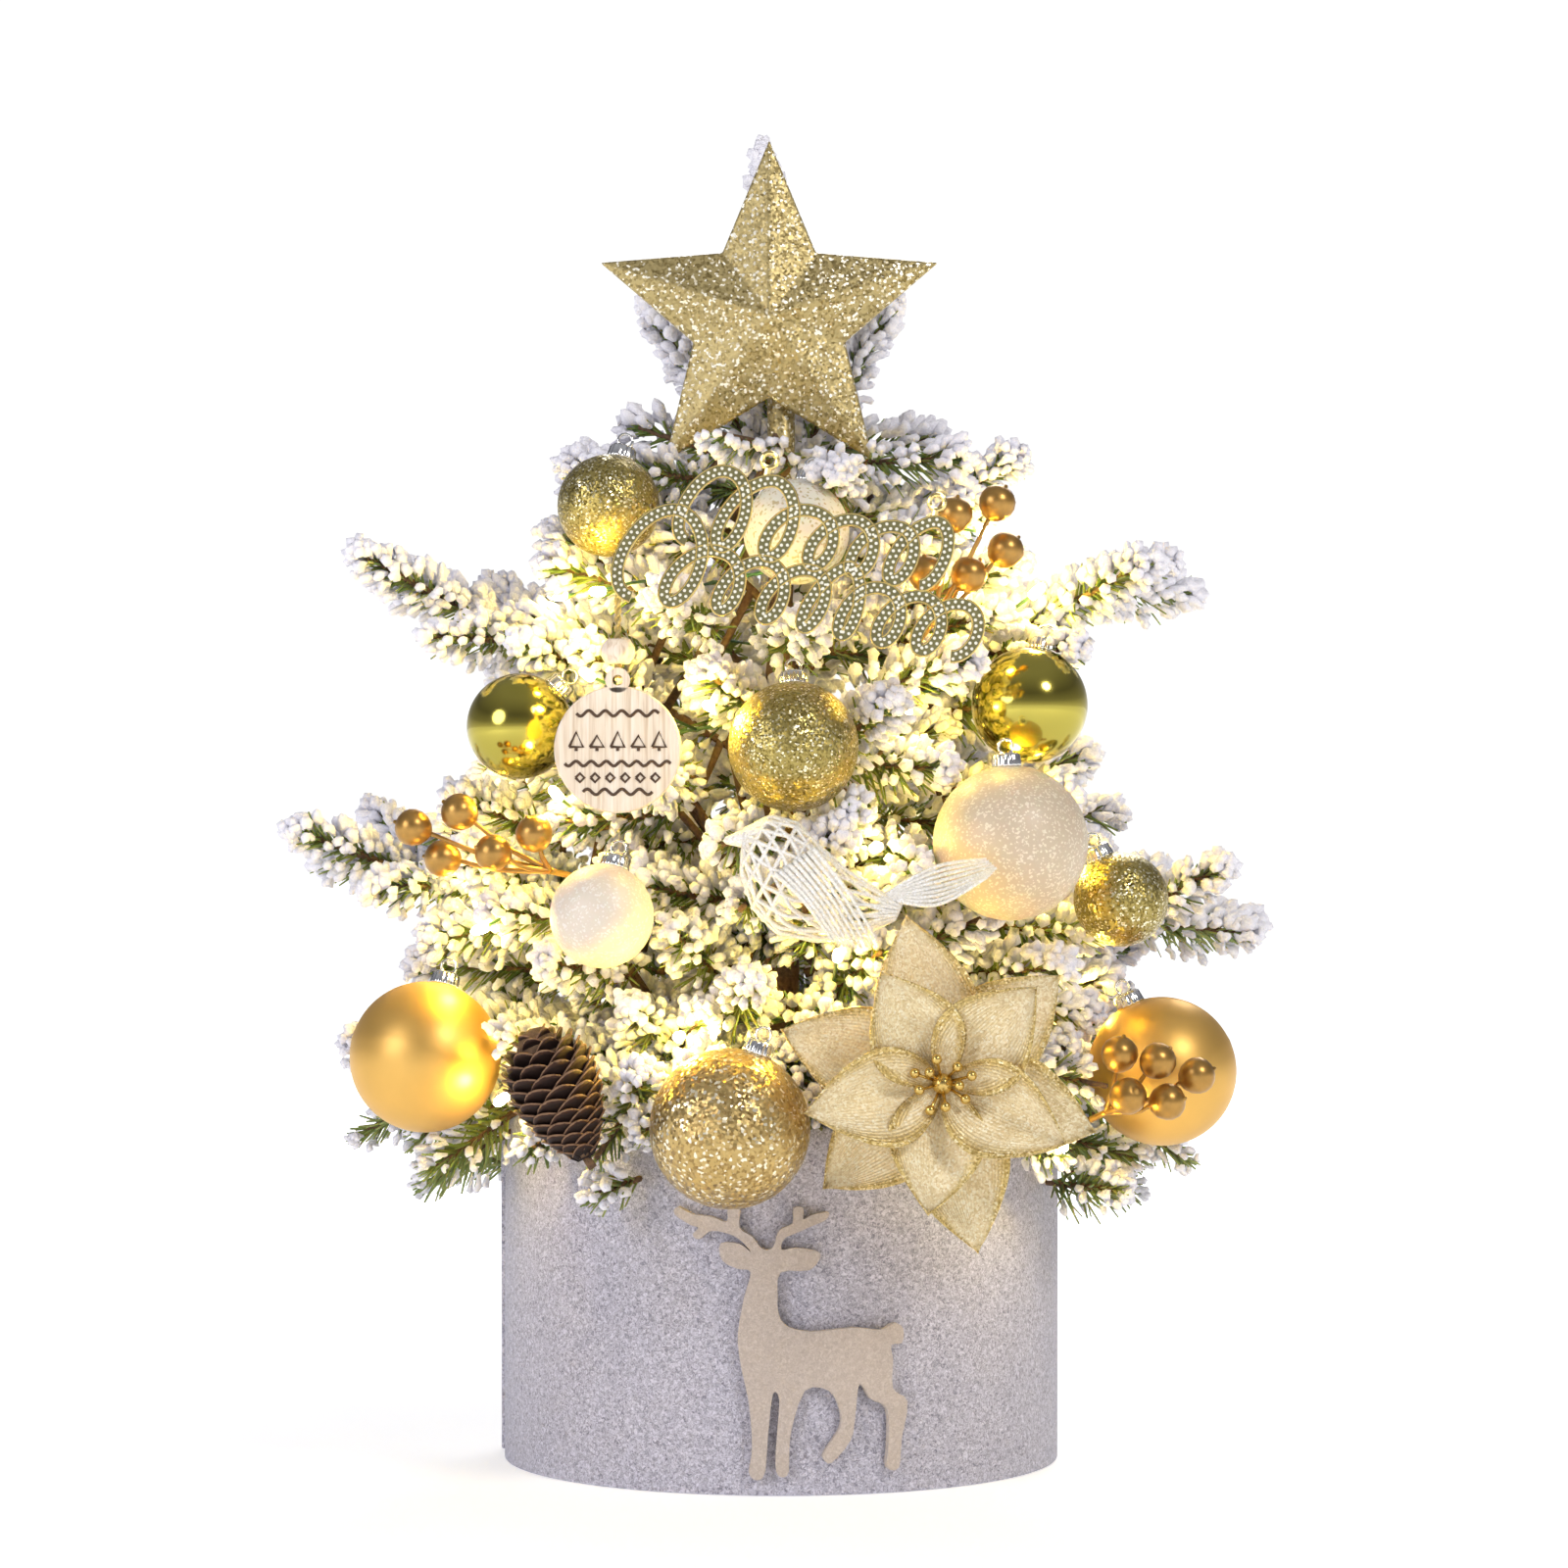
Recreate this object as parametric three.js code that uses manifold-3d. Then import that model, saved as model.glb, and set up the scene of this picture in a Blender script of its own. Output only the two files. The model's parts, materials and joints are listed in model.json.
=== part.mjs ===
// Flocked tabletop Christmas tree: wired brush branches on a trunk that stands in a
// weighted, felt-wrapped pot, dressed with baubles, a star, a scrollwork plaque, a wooden
// tag, a bird, a poinsettia, a cone, berry sprays and a battery light string.
// Millimetres, +Z up, front towards -Y, origin under the middle of the pot.
import * as THREE from "three";
import { mergeVertices } from "three/addons/utils/BufferGeometryUtils.js";
import Module from "manifold-3d";

const wasm = await Module();
wasm.setup();

// ---------- driving dimensions ----------
const GAP = 0.4;                      // air left between neighbouring pieces
const ROUND = 40;                     // sides of the pot's round walls

const POT_RADIUS = 94;
const POT_HEIGHT = 118;
const FELT = 3;
const INNER_POT_RADIUS = 88;          // plastic liner, at its rim
const INNER_POT_DRAFT = 4;            // how much narrower the liner is at its foot
const INNER_POT_RIM = 86;
const INNER_POT_WALL = 2;
const WEIGHT_TOP = 50;                // plaster poured round the trunk

const TRUNK_FOOT = 14;
const TRUNK_TOP = 368;
const TRUNK_RADIUS = 6;
const TRUNK_TIP_RADIUS = 3.2;

const STEM_RADIUS = 1.7;
const BRUSH_RADIUS = 14;              // needles round a branch's own axis
const SPRIG_RADIUS = 11.5;            // needles round a side sprig
const BRUSH_START = 0.36;             // where the needles begin, as a share of the reach
const BRUSH_SIDES = 5;

const STAR_CENTRE = [-4, -5.5, 386];
const STAR_OUTER = 60;
const STAR_INNER = 27;
const STAR_EDGE = 1.5;
const STAR_PEAK = 9;
const SLEEVE_FOOT = 331;
const SLEEVE_TOP = 372;
const SLEEVE_BORE = TRUNK_TIP_RADIUS + 0.6;
const SLEEVE_RADIUS = 4.8;
const STAR_LIFT = 62;                 // room kept free over the star, so that it lifts off

const PLAQUE_CENTRE = [5, -112, 297];
const PLAQUE_TILT = 0.2;              // radians, right end low
const PLAQUE_THICK = 4;

const TAG_CENTRE = [-52, -100, 239];
const TAG_RADIUS = 20.3;
const TAG_THICK = 3;
const TAG_CORD_TOP = 288;

const FLOWER_CENTRE = [50.5, -126, 134.5];
const BIRD_PLANE = -118;
const CONE_CENTRE = [-69, -111, 129];
const CONE_LENGTH = 47;
const CONE_RADIUS = 15;
const CONE_DIP = 66.5;                // degrees that its tip hangs below level
const BERRY_RADIUS = 6;

const WIRE_RADIUS = 0.8;
const WIRE_TURNS = 4.2;
const WIRE_STEPS = 66;

const BOX = { x: 70, y: 36, z: 18, wall: 2, centreY: 38, foot: WEIGHT_TOP + GAP };
const CELL_RADIUS = 7.1;
const CELL_LENGTH = 50;

// Each branch: name, direction round the trunk (degrees, -90 is the front), height where its
// wire leaves the trunk, reach, height of its tip, arch, side sprigs and their length.
const BRANCHES = [
  ["branch_low_left", 188, 118, 143, 110, 21, 5, 60],
  ["branch_low_right", -9, 116, 137, 102, 24, 5, 58],
  ["branch_low_front_left", -122, 122, 112, 108, 20, 5, 52],
  ["branch_low_front_right", -62, 120, 110, 104, 20, 5, 52],
  ["branch_low_back", 89, 119, 126, 106, 22, 5, 64],
  ["branch_mid_left", 176, 169, 157, 200, 6, 5, 66],
  ["branch_mid_right", 2, 161, 159, 177, 9, 5, 66],
  ["branch_mid_front", -97, 171, 106, 188, 8, 5, 56],
  ["branch_mid_back", 96, 173, 130, 192, 8, 5, 66],
  ["branch_high_left", 182, 230, 136, 298, 5, 5, 60],
  ["branch_high_right", -4, 233, 131, 303, 4, 5, 60],
  ["branch_high_back", 88, 229, 112, 284, 6, 5, 58],
  ["branch_top_left", 168, 284, 68, 341, 3, 4, 38],
  ["branch_top_right", 13, 282, 71, 331, 3, 4, 38],
].map(([name, turn, root, reach, tip, arch, sprigs, size]) => (
  { name, turn, root, reach, tip, arch, sprigs, size }
));

// The leader's sprigs fan out behind the star, from one taped stem.
const LEADER_STEM = [[0, 8, 297], [0, 22, 331]];
const LEADER_TIPS = [[-6, 26, 450], [-45, 24, 391], [38, 25, 392], [-20, 56, 396], [22, 54, 402]];
const LEADER_RADIUS = 9;

// Baubles: name, centre, radius, colour, and the way the cap points where one hangs on a cap.
const GLITTER_GOLD = 0xcfa65a;
const MIRROR_GOLD = 0x8a7335;
const SATIN_GOLD = 0xb8974f;
const BAUBLES = [
  ["bauble_glitter_upper_left", [-57, -45, 320], 16.5, GLITTER_GOLD],
  ["bauble_speckled_top", [5, -52, 311], 17, 0xe9e4d8],
  ["bauble_mirror_left", [-86, -52, 247], 16.6, MIRROR_GOLD, [0.7, 0, 0.7]],
  ["bauble_mirror_right", [82, -48, 254], 18.7, MIRROR_GOLD],
  ["bauble_glitter_centre", [4, -97, 240], 20, GLITTER_GOLD, [0, 0.3, 1]],
  ["bauble_frosted_right", [74, -84, 209], 24, 0xe8dfca, [-0.05, 0, 1]],
  ["bauble_glitter_right", [112, -50, 190], 14.9, GLITTER_GOLD, [-0.45, 0, 0.9]],
  ["bauble_frosted_left", [-57, -103, 186], 16.2, 0xf0ebdf],
  ["bauble_satin_left", [-116, -66, 139], 24, SATIN_GOLD],
  ["bauble_glitter_front", [-16, -126, 120], 24.2, 0xd9bd84, [0.34, 0, 0.94]],
  ["bauble_satin_right", [126, -44, 133], 23.6, SATIN_GOLD, [-0.42, 0, 0.9]],
  ["bauble_mirror_back", [-38, 104, 232], 18.5, MIRROR_GOLD],
].map(([name, at, radius, colour, cap]) => ({ name, at, radius, colour, cap }));
const BALL_SIDES = 10;
const BALL_ROWS = 7;
const CAP_RADIUS = 4.4;
const CAP_HEIGHT = 5;

// Berry sprays: the wire's foot, the knot where the stalks part, and the berries.
const SPRAYS = [
  {
    name: "berry_spray_left",
    foot: [-52, -66, 192],
    knot: [-74, -88, 200],
    berries: [[-118, -90, 214], [-103, -92, 219], [-109, -84, 204], [-92, -95, 206], [-79, -93, 212]],
  },
  {
    name: "berry_spray_upper_right",
    foot: [40, -50, 266],
    knot: [49, -72, 280],
    berries: [[70, -76, 319], [73, -70, 304], [56, -80, 315], [61, -72, 296], [47, -78, 296]],
  },
  {
    name: "berry_spray_lower_right",
    foot: [92, -64, 112],
    knot: [105, -82, 122],
    berries: [[109, -86, 141], [121, -89, 139], [134, -84, 134], [124, -90, 126], [111, -94, 128]],
  },
];

const COLOURS = {
  felt: 0x70788a,
  deer: 0xe6e0d2,
  plastic: 0x26282a,
  plaster: 0xd6d2c8,
  bark: 0x5b4632,
  foliage: 0x9fae93,
  starGlitter: 0xd8bd84,
  plaque: 0xb59a5a,
  wood: 0xd9bb8c,
  cord: 0x94803f,
  whiteGlitter: 0xece8df,
  petal: 0xd9c39a,
  stamen: 0xc79a3c,
  cone: 0x5a3a25,
  berry: 0xa8763f,
  wire: 0x2f5a35,
  cell: 0xb9bcc0,
  chrome: 0xc9c9c7,
};

// ---------- solids ----------
const vector = (point) => new THREE.Vector3(...point);
const radians = (degrees) => THREE.MathUtils.degToRad(degrees);

function solidOf(geometry) {
  const bare = geometry.clone();
  bare.deleteAttribute("normal");
  bare.deleteAttribute("uv");
  const merged = mergeVertices(bare, 1e-4);
  const corners = merged.index.array;
  const kept = [];
  for (let i = 0; i < corners.length; i += 3) {
    const [a, b, c] = [corners[i], corners[i + 1], corners[i + 2]];
    if (a !== b && b !== c && a !== c) {
      kept.push(a, b, c);
    }
  }
  return new wasm.Manifold(new wasm.Mesh({
    numProp: 3,
    vertProperties: new Float32Array(merged.attributes.position.array),
    triVerts: new Uint32Array(kept),
  }));
}

function geometryOf(solid) {
  const mesh = solid.getMesh();
  const geometry = new THREE.BufferGeometry();
  geometry.setAttribute("position", new THREE.BufferAttribute(mesh.vertProperties, 3));
  geometry.setIndex(new THREE.BufferAttribute(mesh.triVerts, 1));
  return geometry;
}

function joined(geometries) {
  return geometries.map(solidOf).reduce((all, next) => all.add(next));
}

function largestBody(solid) {
  return solid.decompose().reduce((best, next) => (next.volume() > best.volume() ? next : best));
}

function finish(colour, roughness, metalness) {
  return new THREE.MeshStandardMaterial({ color: colour, roughness, metalness });
}

function addMesh(parent, name, geometry, material) {
  const mesh = new THREE.Mesh(geometry, material);
  mesh.name = name;
  parent.add(mesh);
  return mesh;
}

// A body turned about +Z from [radius, height] points.
function turned(points, sides) {
  const profile = points.map(([radius, height]) => new THREE.Vector2(radius, height));
  return new THREE.LatheGeometry(profile, sides).rotateX(Math.PI / 2);
}

// Moves a +Z shape so that it starts at one point and runs towards another.
function alongLine(geometry, from, to) {
  const start = vector(from);
  const direction = vector(to).sub(start).normalize();
  const turn = new THREE.Quaternion().setFromUnitVectors(new THREE.Vector3(0, 0, 1), direction);
  return geometry.applyQuaternion(turn).translate(start.x, start.y, start.z);
}

function rod(from, to, radius, sides = 6) {
  const length = vector(to).distanceTo(vector(from));
  return alongLine(turned([[0, 0], [radius, 0], [radius, length], [0, length]], sides), from, to);
}

function ball(centre, radius, around = 8, down = 5) {
  return new THREE.SphereGeometry(radius, around, down).rotateX(Math.PI / 2).translate(...centre);
}

// The outer shape of one needle brush: quickly wide, then tapering to its tip.
function brush(from, to, radius) {
  const length = vector(to).distanceTo(vector(from));
  const profile = [[0, 0], [0.8 * radius, 0.12 * length], [radius, 0.4 * length], [0, length]];
  return alongLine(turned(profile, BRUSH_SIDES), from, to);
}

function slab(low, high) {
  const size = vector(high).sub(vector(low));
  const middle = vector(high).add(vector(low)).multiplyScalar(0.5);
  return new THREE.BoxGeometry(size.x, size.y, size.z).translate(middle.x, middle.y, middle.z);
}

// A flat outline in X and Z, cut from a sheet that runs from one depth to another.
function cutOut(shape, nearY, farY, curveSegments = 6) {
  const flat = new THREE.ExtrudeGeometry(shape, { depth: farY - nearY, bevelEnabled: false, curveSegments });
  return flat.rotateX(Math.PI / 2).translate(0, farY, 0);
}

function outline(points) {
  return new THREE.Shape(points.map(([x, z]) => new THREE.Vector2(x, z)));
}

// ---------- pot and base ----------
function addPot(parent) {
  const felt = finish(COLOURS.felt, 1, 0);
  const wall = POT_RADIUS - FELT;
  const wallProfile = [[wall, 0], [POT_RADIUS, 0], [POT_RADIUS, POT_HEIGHT], [wall, POT_HEIGHT], [wall, 0]];
  addMesh(parent, "felt_pot_wall", turned(wallProfile, ROUND), felt);
  const floorRadius = wall - GAP;
  const floorProfile = [[0, 0], [floorRadius, 0], [floorRadius, FELT], [0, FELT]];
  addMesh(parent, "felt_pot_bottom", turned(floorProfile, ROUND), felt);

  const foot = FELT + GAP;
  const narrow = INNER_POT_RADIUS - INNER_POT_DRAFT;
  const linerProfile = [
    [0, foot], [narrow, foot], [INNER_POT_RADIUS, INNER_POT_RIM],
    [INNER_POT_RADIUS - INNER_POT_WALL, INNER_POT_RIM],
    [narrow - INNER_POT_WALL, foot + INNER_POT_WALL], [0, foot + INNER_POT_WALL],
  ];
  addMesh(parent, "inner_pot", turned(linerProfile, ROUND), finish(COLOURS.plastic, 0.6, 0));

  const weightFoot = foot + INNER_POT_WALL + GAP;
  const weightRadius = narrow - INNER_POT_WALL - 2 * GAP;
  const weightProfile = [
    [0, weightFoot], [weightRadius, weightFoot], [weightRadius, WEIGHT_TOP],
    [TRUNK_RADIUS + GAP, WEIGHT_TOP], [TRUNK_RADIUS + GAP, TRUNK_FOOT - GAP], [0, TRUNK_FOOT - GAP],
  ];
  addMesh(parent, "plaster_weight", turned(weightProfile, ROUND), finish(COLOURS.plaster, 0.95, 0));
}

function addTrunk(parent) {
  const profile = [
    [0, TRUNK_FOOT], [TRUNK_RADIUS, TRUNK_FOOT], [TRUNK_RADIUS, 230],
    [TRUNK_TIP_RADIUS, SLEEVE_FOOT - 5], [TRUNK_TIP_RADIUS, TRUNK_TOP], [0, TRUNK_TOP],
  ];
  addMesh(parent, "trunk", turned(profile, 12), finish(COLOURS.bark, 0.9, 0));
}

// A standing deer that looks over its shoulder, cut from felt and glued round the pot.
function deerOutline() {
  return outline([
    [-9, 72], [-11, 64], [-13, 52], [-12, 42], [-9, 30], [-8.5, 16], [-9.5, 8], [-7.5, 6], [-5.5, 8],
    [-4.5, 20], [-3, 33], [-0.5, 31], [-1, 17], [-1, 8.5], [0.5, 7], [2, 8.5], [2.5, 20], [7.5, 34],
    [15, 34], [19, 28], [19, 22], [14.5, 14.5], [14, 12.5], [16, 11.5], [21.5, 18], [23, 26], [24.5, 35],
    [26, 35], [29, 31], [34.5, 27.5], [35, 17], [34.5, 9.5], [37.5, 9], [38.5, 18], [40.5, 29.5],
    [35.5, 33.5], [35.5, 43], [35, 48], [38.5, 49], [38.5, 53], [36, 54.5], [32, 52], [23, 53],
    [10, 52], [2, 53.5], [-1, 58], [-1.5, 64], [0, 72], [9, 73], [12, 78], [5, 79.5], [-0.5, 79],
    [-3.5, 79.5], [-8, 78.5], [-13, 80.5], [-19, 80.5], [-18, 76], [-13, 73.5],
  ]);
}

const ANTLERS = [
  [[-6, 77], [-11, 83.5], [-16, 86], [-22, 87], [-28, 88], [-33, 90.5]],
  [[-15, 85.5], [-15, 92]],
  [[-22, 87], [-26, 84]],
  [[-1.5, 77], [0.5, 83], [5, 86], [9.5, 88], [14.5, 90]],
  [[5, 86], [5.5, 91.5]],
];
const ANTLER_WIDTH = 2.6;

function strip(from, to, nearY, farY) {
  const across = new THREE.Vector2(to[0] - from[0], to[1] - from[1]);
  across.normalize().multiplyScalar(ANTLER_WIDTH / 2);
  return cutOut(outline([
    [from[0] - across.x - across.y, from[1] - across.y + across.x],
    [from[0] - across.x + across.y, from[1] - across.y - across.x],
    [to[0] + across.x + across.y, to[1] + across.y - across.x],
    [to[0] + across.x - across.y, to[1] + across.y + across.x],
  ]), nearY, farY);
}

function addDeer(parent) {
  const near = -POT_RADIUS - 20;
  const far = -POT_RADIUS / 2;
  const sheets = [cutOut(deerOutline(), near, far)];
  for (const antler of ANTLERS) {
    for (let i = 1; i < antler.length; i += 1) {
      sheets.push(strip(antler[i - 1], antler[i], near, far));
    }
  }
  const inside = (POT_RADIUS + GAP) / Math.cos(Math.PI / ROUND);
  const outside = inside + FELT - 0.5;
  const skin = turned([[inside, 1], [outside, 1], [outside, 110], [inside, 110], [inside, 1]], ROUND);
  const deer = largestBody(joined(sheets).intersect(solidOf(skin)));
  addMesh(parent, "deer_applique", geometryOf(deer), finish(COLOURS.deer, 1, 0));
}

// ---------- battery box ----------
function addBatteryBox(parent) {
  const box = new THREE.Group();
  box.position.set(0, BOX.centreY, BOX.foot);
  parent.add(box);
  const [halfX, halfY] = [BOX.x / 2, BOX.y / 2];
  const plastic = finish(COLOURS.plastic, 0.5, 0);
  const pocketX = halfX - 14;
  const cellRoom = slab(
    [-halfX + BOX.wall, -halfY + BOX.wall, BOX.wall],
    [pocketX - BOX.wall, halfY - BOX.wall, BOX.z + 1],
  );
  const switchRoom = slab([pocketX, -5, 8], [halfX - BOX.wall, 5, BOX.z + 1]);
  const shell = solidOf(slab([-halfX, -halfY, 0], [halfX, halfY, BOX.z]));
  const hollow = shell.subtract(solidOf(cellRoom)).subtract(solidOf(switchRoom));
  addMesh(box, "battery_box", geometryOf(hollow), plastic);

  const coverLow = [-halfX, -halfY, BOX.z + GAP];
  const coverHigh = [pocketX - 1, halfY, BOX.z + GAP + 1.6];
  addMesh(box, "battery_cover", slab(coverLow, coverHigh), plastic);

  const knob = joined([
    slab([pocketX + 0.6, -4, 8.6], [pocketX + 7.6, 4, 14]),
    slab([pocketX + 2.6, -2, 13], [pocketX + 5.6, 2, BOX.z + 2]),
  ]);
  addMesh(box, "battery_switch", geometryOf(knob), finish(0x111111, 0.4, 0));

  const cellProfile = [[0, 0], [CELL_RADIUS, 0], [CELL_RADIUS, CELL_LENGTH], [0, CELL_LENGTH]];
  const metal = finish(COLOURS.cell, 0.35, 0.6);
  for (const [index, side] of [-1, 1].entries()) {
    const cell = addMesh(box, `battery_cell_${index + 1}`, turned(cellProfile, 12), metal);
    cell.rotation.y = Math.PI / 2;
    cell.position.set(-halfX + BOX.wall + 0.5, side * 7.6, BOX.wall + CELL_RADIUS + GAP);
  }
}

// ---------- light string ----------
// The wire leaves the battery box, climbs out of the pot at the back and winds up the tree.
function wirePath() {
  const points = [[30, 56.6, 62], [34, 63, 76], [45, 66, 98], [60, 58, 114]];
  const stepsPerTurn = 12;
  const steps = Math.round(WIRE_TURNS * stepsPerTurn);
  for (let i = 1; i <= steps; i += 1) {
    const share = i / steps;
    const angle = radians(44) + share * WIRE_TURNS * 2 * Math.PI;
    const height = 120 + 208 * share;
    points.push([(96 - 62 * share) * Math.cos(angle), (64 - 38 * share) * Math.sin(angle), height]);
  }
  return new THREE.CatmullRomCurve3(points.map(vector));
}

function wireSolid(radius) {
  const section = new THREE.Shape();
  for (let i = 0; i < 5; i += 1) {
    const angle = (2 * Math.PI * i) / 5;
    section[i === 0 ? "moveTo" : "lineTo"](radius * Math.cos(angle), radius * Math.sin(angle));
  }
  const settings = { steps: WIRE_STEPS, bevelEnabled: false, extrudePath: wirePath() };
  return new THREE.ExtrudeGeometry(section, settings);
}

// ---------- star ----------
function starHalf(peak) {
  const rim = [];
  for (let i = 0; i < 10; i += 1) {
    const radius = i % 2 === 0 ? STAR_OUTER : STAR_INNER;
    const angle = Math.PI / 2 + (i * Math.PI) / 5;
    rim.push([radius * Math.cos(angle), radius * Math.sin(angle)]);
  }
  const points = [[0, 0, 0], [0, 0, peak]];
  for (const height of [0, STAR_EDGE]) {
    points.push(...rim.map(([x, y]) => [x, y, height]));
  }
  const faces = [];
  for (let i = 0; i < 10; i += 1) {
    const next = (i + 1) % 10;
    faces.push(0, 2 + next, 2 + i);
    faces.push(2 + i, 2 + next, 12 + next);
    faces.push(2 + i, 12 + next, 12 + i);
    faces.push(1, 12 + i, 12 + next);
  }
  const geometry = new THREE.BufferGeometry();
  geometry.setAttribute("position", new THREE.Float32BufferAttribute(points.flat(), 3));
  geometry.setIndex(faces);
  return geometry;
}

function addStar(parent) {
  const glitter = finish(COLOURS.starGlitter, 0.5, 0.5);
  const star = new THREE.Group();
  star.position.set(...STAR_CENTRE);
  parent.add(star);
  const front = addMesh(star, "star_front", starHalf(STAR_PEAK), glitter);
  front.rotation.x = Math.PI / 2;
  front.position.y = -GAP;
  const upright = starHalf(STAR_PEAK - 1).rotateZ(Math.PI).rotateX(-Math.PI / 2);
  const boreRadius = SLEEVE_RADIUS + GAP;
  const boreTop = SLEEVE_TOP + GAP;
  const bore = turned([[0, 300], [boreRadius, 300], [boreRadius, boreTop], [0, boreTop]], 12);
  bore.translate(-STAR_CENTRE[0], -STAR_CENTRE[1], -STAR_CENTRE[2]);
  addMesh(star, "star_back", geometryOf(solidOf(upright).subtract(solidOf(bore))), glitter);
  const sleeveProfile = [
    [SLEEVE_BORE, SLEEVE_FOOT], [SLEEVE_RADIUS - 0.4, SLEEVE_FOOT], [SLEEVE_RADIUS, SLEEVE_TOP],
    [SLEEVE_BORE, SLEEVE_TOP], [SLEEVE_BORE, SLEEVE_FOOT],
  ];
  addMesh(parent, "star_sleeve", turned(sleeveProfile, 12), glitter);
}

// ---------- plaque ----------
// Openwork of overlapping slanted loops in two rows: middle along the row, middle up it,
// half width, half height.
const PLAQUE_LOOPS = [
  [-33, 13, 9, 14], [-17, 13, 9, 14], [-2, 9.5, 8.5, 10.5], [11.5, 9.5, 8, 10.5],
  [24.5, 10, 8, 10.5], [36, 12, 7.5, 12.5],
  [-42, -5, 12, 17], [-24, -9.5, 8, 11], [-9.5, -9.5, 8, 11], [4.5, -9.5, 8, 11],
  [16, -8, 6, 13], [28.5, -10, 8, 10.5], [41.5, -10, 8, 10.5], [54.5, -10, 8.5, 10.5],
];
const PLAQUE_BAND = 4.2;
const PLAQUE_SLANT = 0.22;
const PLAQUE_RINGS = [[-15, 31], [39.5, 28.5]];

function loopShape(x, z, halfWidth, halfHeight, band) {
  const shape = new THREE.Shape();
  shape.absellipse(x, z, halfWidth, halfHeight, 0, 2 * Math.PI);
  const hole = new THREE.Path();
  hole.absellipse(x, z, halfWidth - band, halfHeight - band, 0, 2 * Math.PI);
  shape.holes.push(hole);
  return shape;
}

function addPlaque(parent) {
  const half = PLAQUE_THICK / 2;
  const slant = new THREE.Matrix4().set(1, 0, PLAQUE_SLANT, 0, 0, 1, 0, 0, 0, 0, 1, 0, 0, 0, 0, 1);
  const pieces = PLAQUE_LOOPS.map((loop) => (
    cutOut(loopShape(...loop, PLAQUE_BAND), -half, half, 4).applyMatrix4(slant)
  ));
  for (const [x, z] of PLAQUE_RINGS) {
    pieces.push(cutOut(loopShape(x, z, 3.2, 3.2, 1.5), -half / 2, half / 2, 3));
    pieces.push(slab([x - 1.2, -half / 2, z - 6.5], [x + 1.2, half / 2, z - 2.2]));
  }
  const gilt = finish(COLOURS.plaque, 0.4, 0.7);
  const openwork = geometryOf(largestBody(joined(pieces)));
  const plaque = addMesh(parent, "scrollwork_plaque", openwork, gilt);
  plaque.position.set(...PLAQUE_CENTRE);
  plaque.rotation.y = PLAQUE_TILT;
}

// ---------- wooden tag ----------
function addTag(parent) {
  const tag = new THREE.Group();
  tag.position.set(...TAG_CENTRE);
  parent.add(tag);
  const half = TAG_THICK / 2;
  const tabHeight = TAG_RADIUS + 1.8;
  const disc = new THREE.Shape();
  disc.absarc(0, 0, TAG_RADIUS, 0, 2 * Math.PI);
  const whole = joined([
    cutOut(disc, -half, half, 14),
    cutOut(loopShape(0, tabHeight, 4, 4, 2.3), -half, half, 5),
  ]);
  const hole = new THREE.Shape();
  hole.absarc(0, tabHeight, 1.7, 0, 2 * Math.PI);
  const drilled = whole.subtract(solidOf(cutOut(hole, -half - 1, half + 1, 3)));
  addMesh(tag, "tag_disc", geometryOf(drilled), finish(COLOURS.wood, 0.7, 0));
  const cordFoot = tabHeight + 4.4;
  const cordTop = TAG_CORD_TOP - TAG_CENTRE[2];
  const beadFoot = cordFoot + 0.8;
  const beadProfile = [[1.7, 0], [4, 0], [5.6, 4], [4, 8], [1.7, 8], [1.7, 0]];
  const bead = turned(beadProfile, 12).translate(0, 0, beadFoot);
  addMesh(tag, "tag_bead", bead, finish(COLOURS.wood, 0.6, 0));
  addMesh(tag, "tag_cord", rod([0, 0, cordFoot], [0, 0, cordTop], 1.2), finish(COLOURS.cord, 0.8, 0));
}

// ---------- bird ----------
function addBird(parent) {
  const shape = outline([
    [-18.5, 209.5], [-11, 215], [-3, 218.5], [6, 216], [12, 209], [18, 204], [30, 196], [45, 201],
    [69, 204], [68, 199], [49, 194], [41, 184], [29, 176], [22, 178], [12, 177], [1, 179], [-8, 189],
    [-12.5, 199], [-12, 207],
  ]);
  const body = cutOut(shape, BIRD_PLANE - 2, BIRD_PLANE + 2);
  addMesh(parent, "bird", body, finish(COLOURS.whiteGlitter, 0.6, 0.1));
}

// ---------- poinsettia ----------
function petals(count, firstAngle, length, width, lean, lift) {
  const leaf = new THREE.Shape();
  leaf.moveTo(1, -3);
  leaf.quadraticCurveTo(length * 0.5, -width * 0.9, length, 0);
  leaf.quadraticCurveTo(length * 0.5, width * 0.9, 1, 3);
  leaf.lineTo(1, -3);
  const hub = new THREE.CylinderGeometry(5.5, 5.5, 1.2, 8).rotateX(Math.PI / 2);
  const pieces = [hub.translate(0, 0, lift + 0.6)];
  for (let i = 0; i < count; i += 1) {
    const petal = new THREE.ExtrudeGeometry(leaf, { depth: 1.2, bevelEnabled: false, curveSegments: 3 });
    petal.rotateY(radians(lean)).rotateZ(radians(firstAngle + (360 * i) / count));
    petal.translate(0, 0, lift);
    pieces.push(petal);
  }
  return geometryOf(joined(pieces));
}

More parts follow.
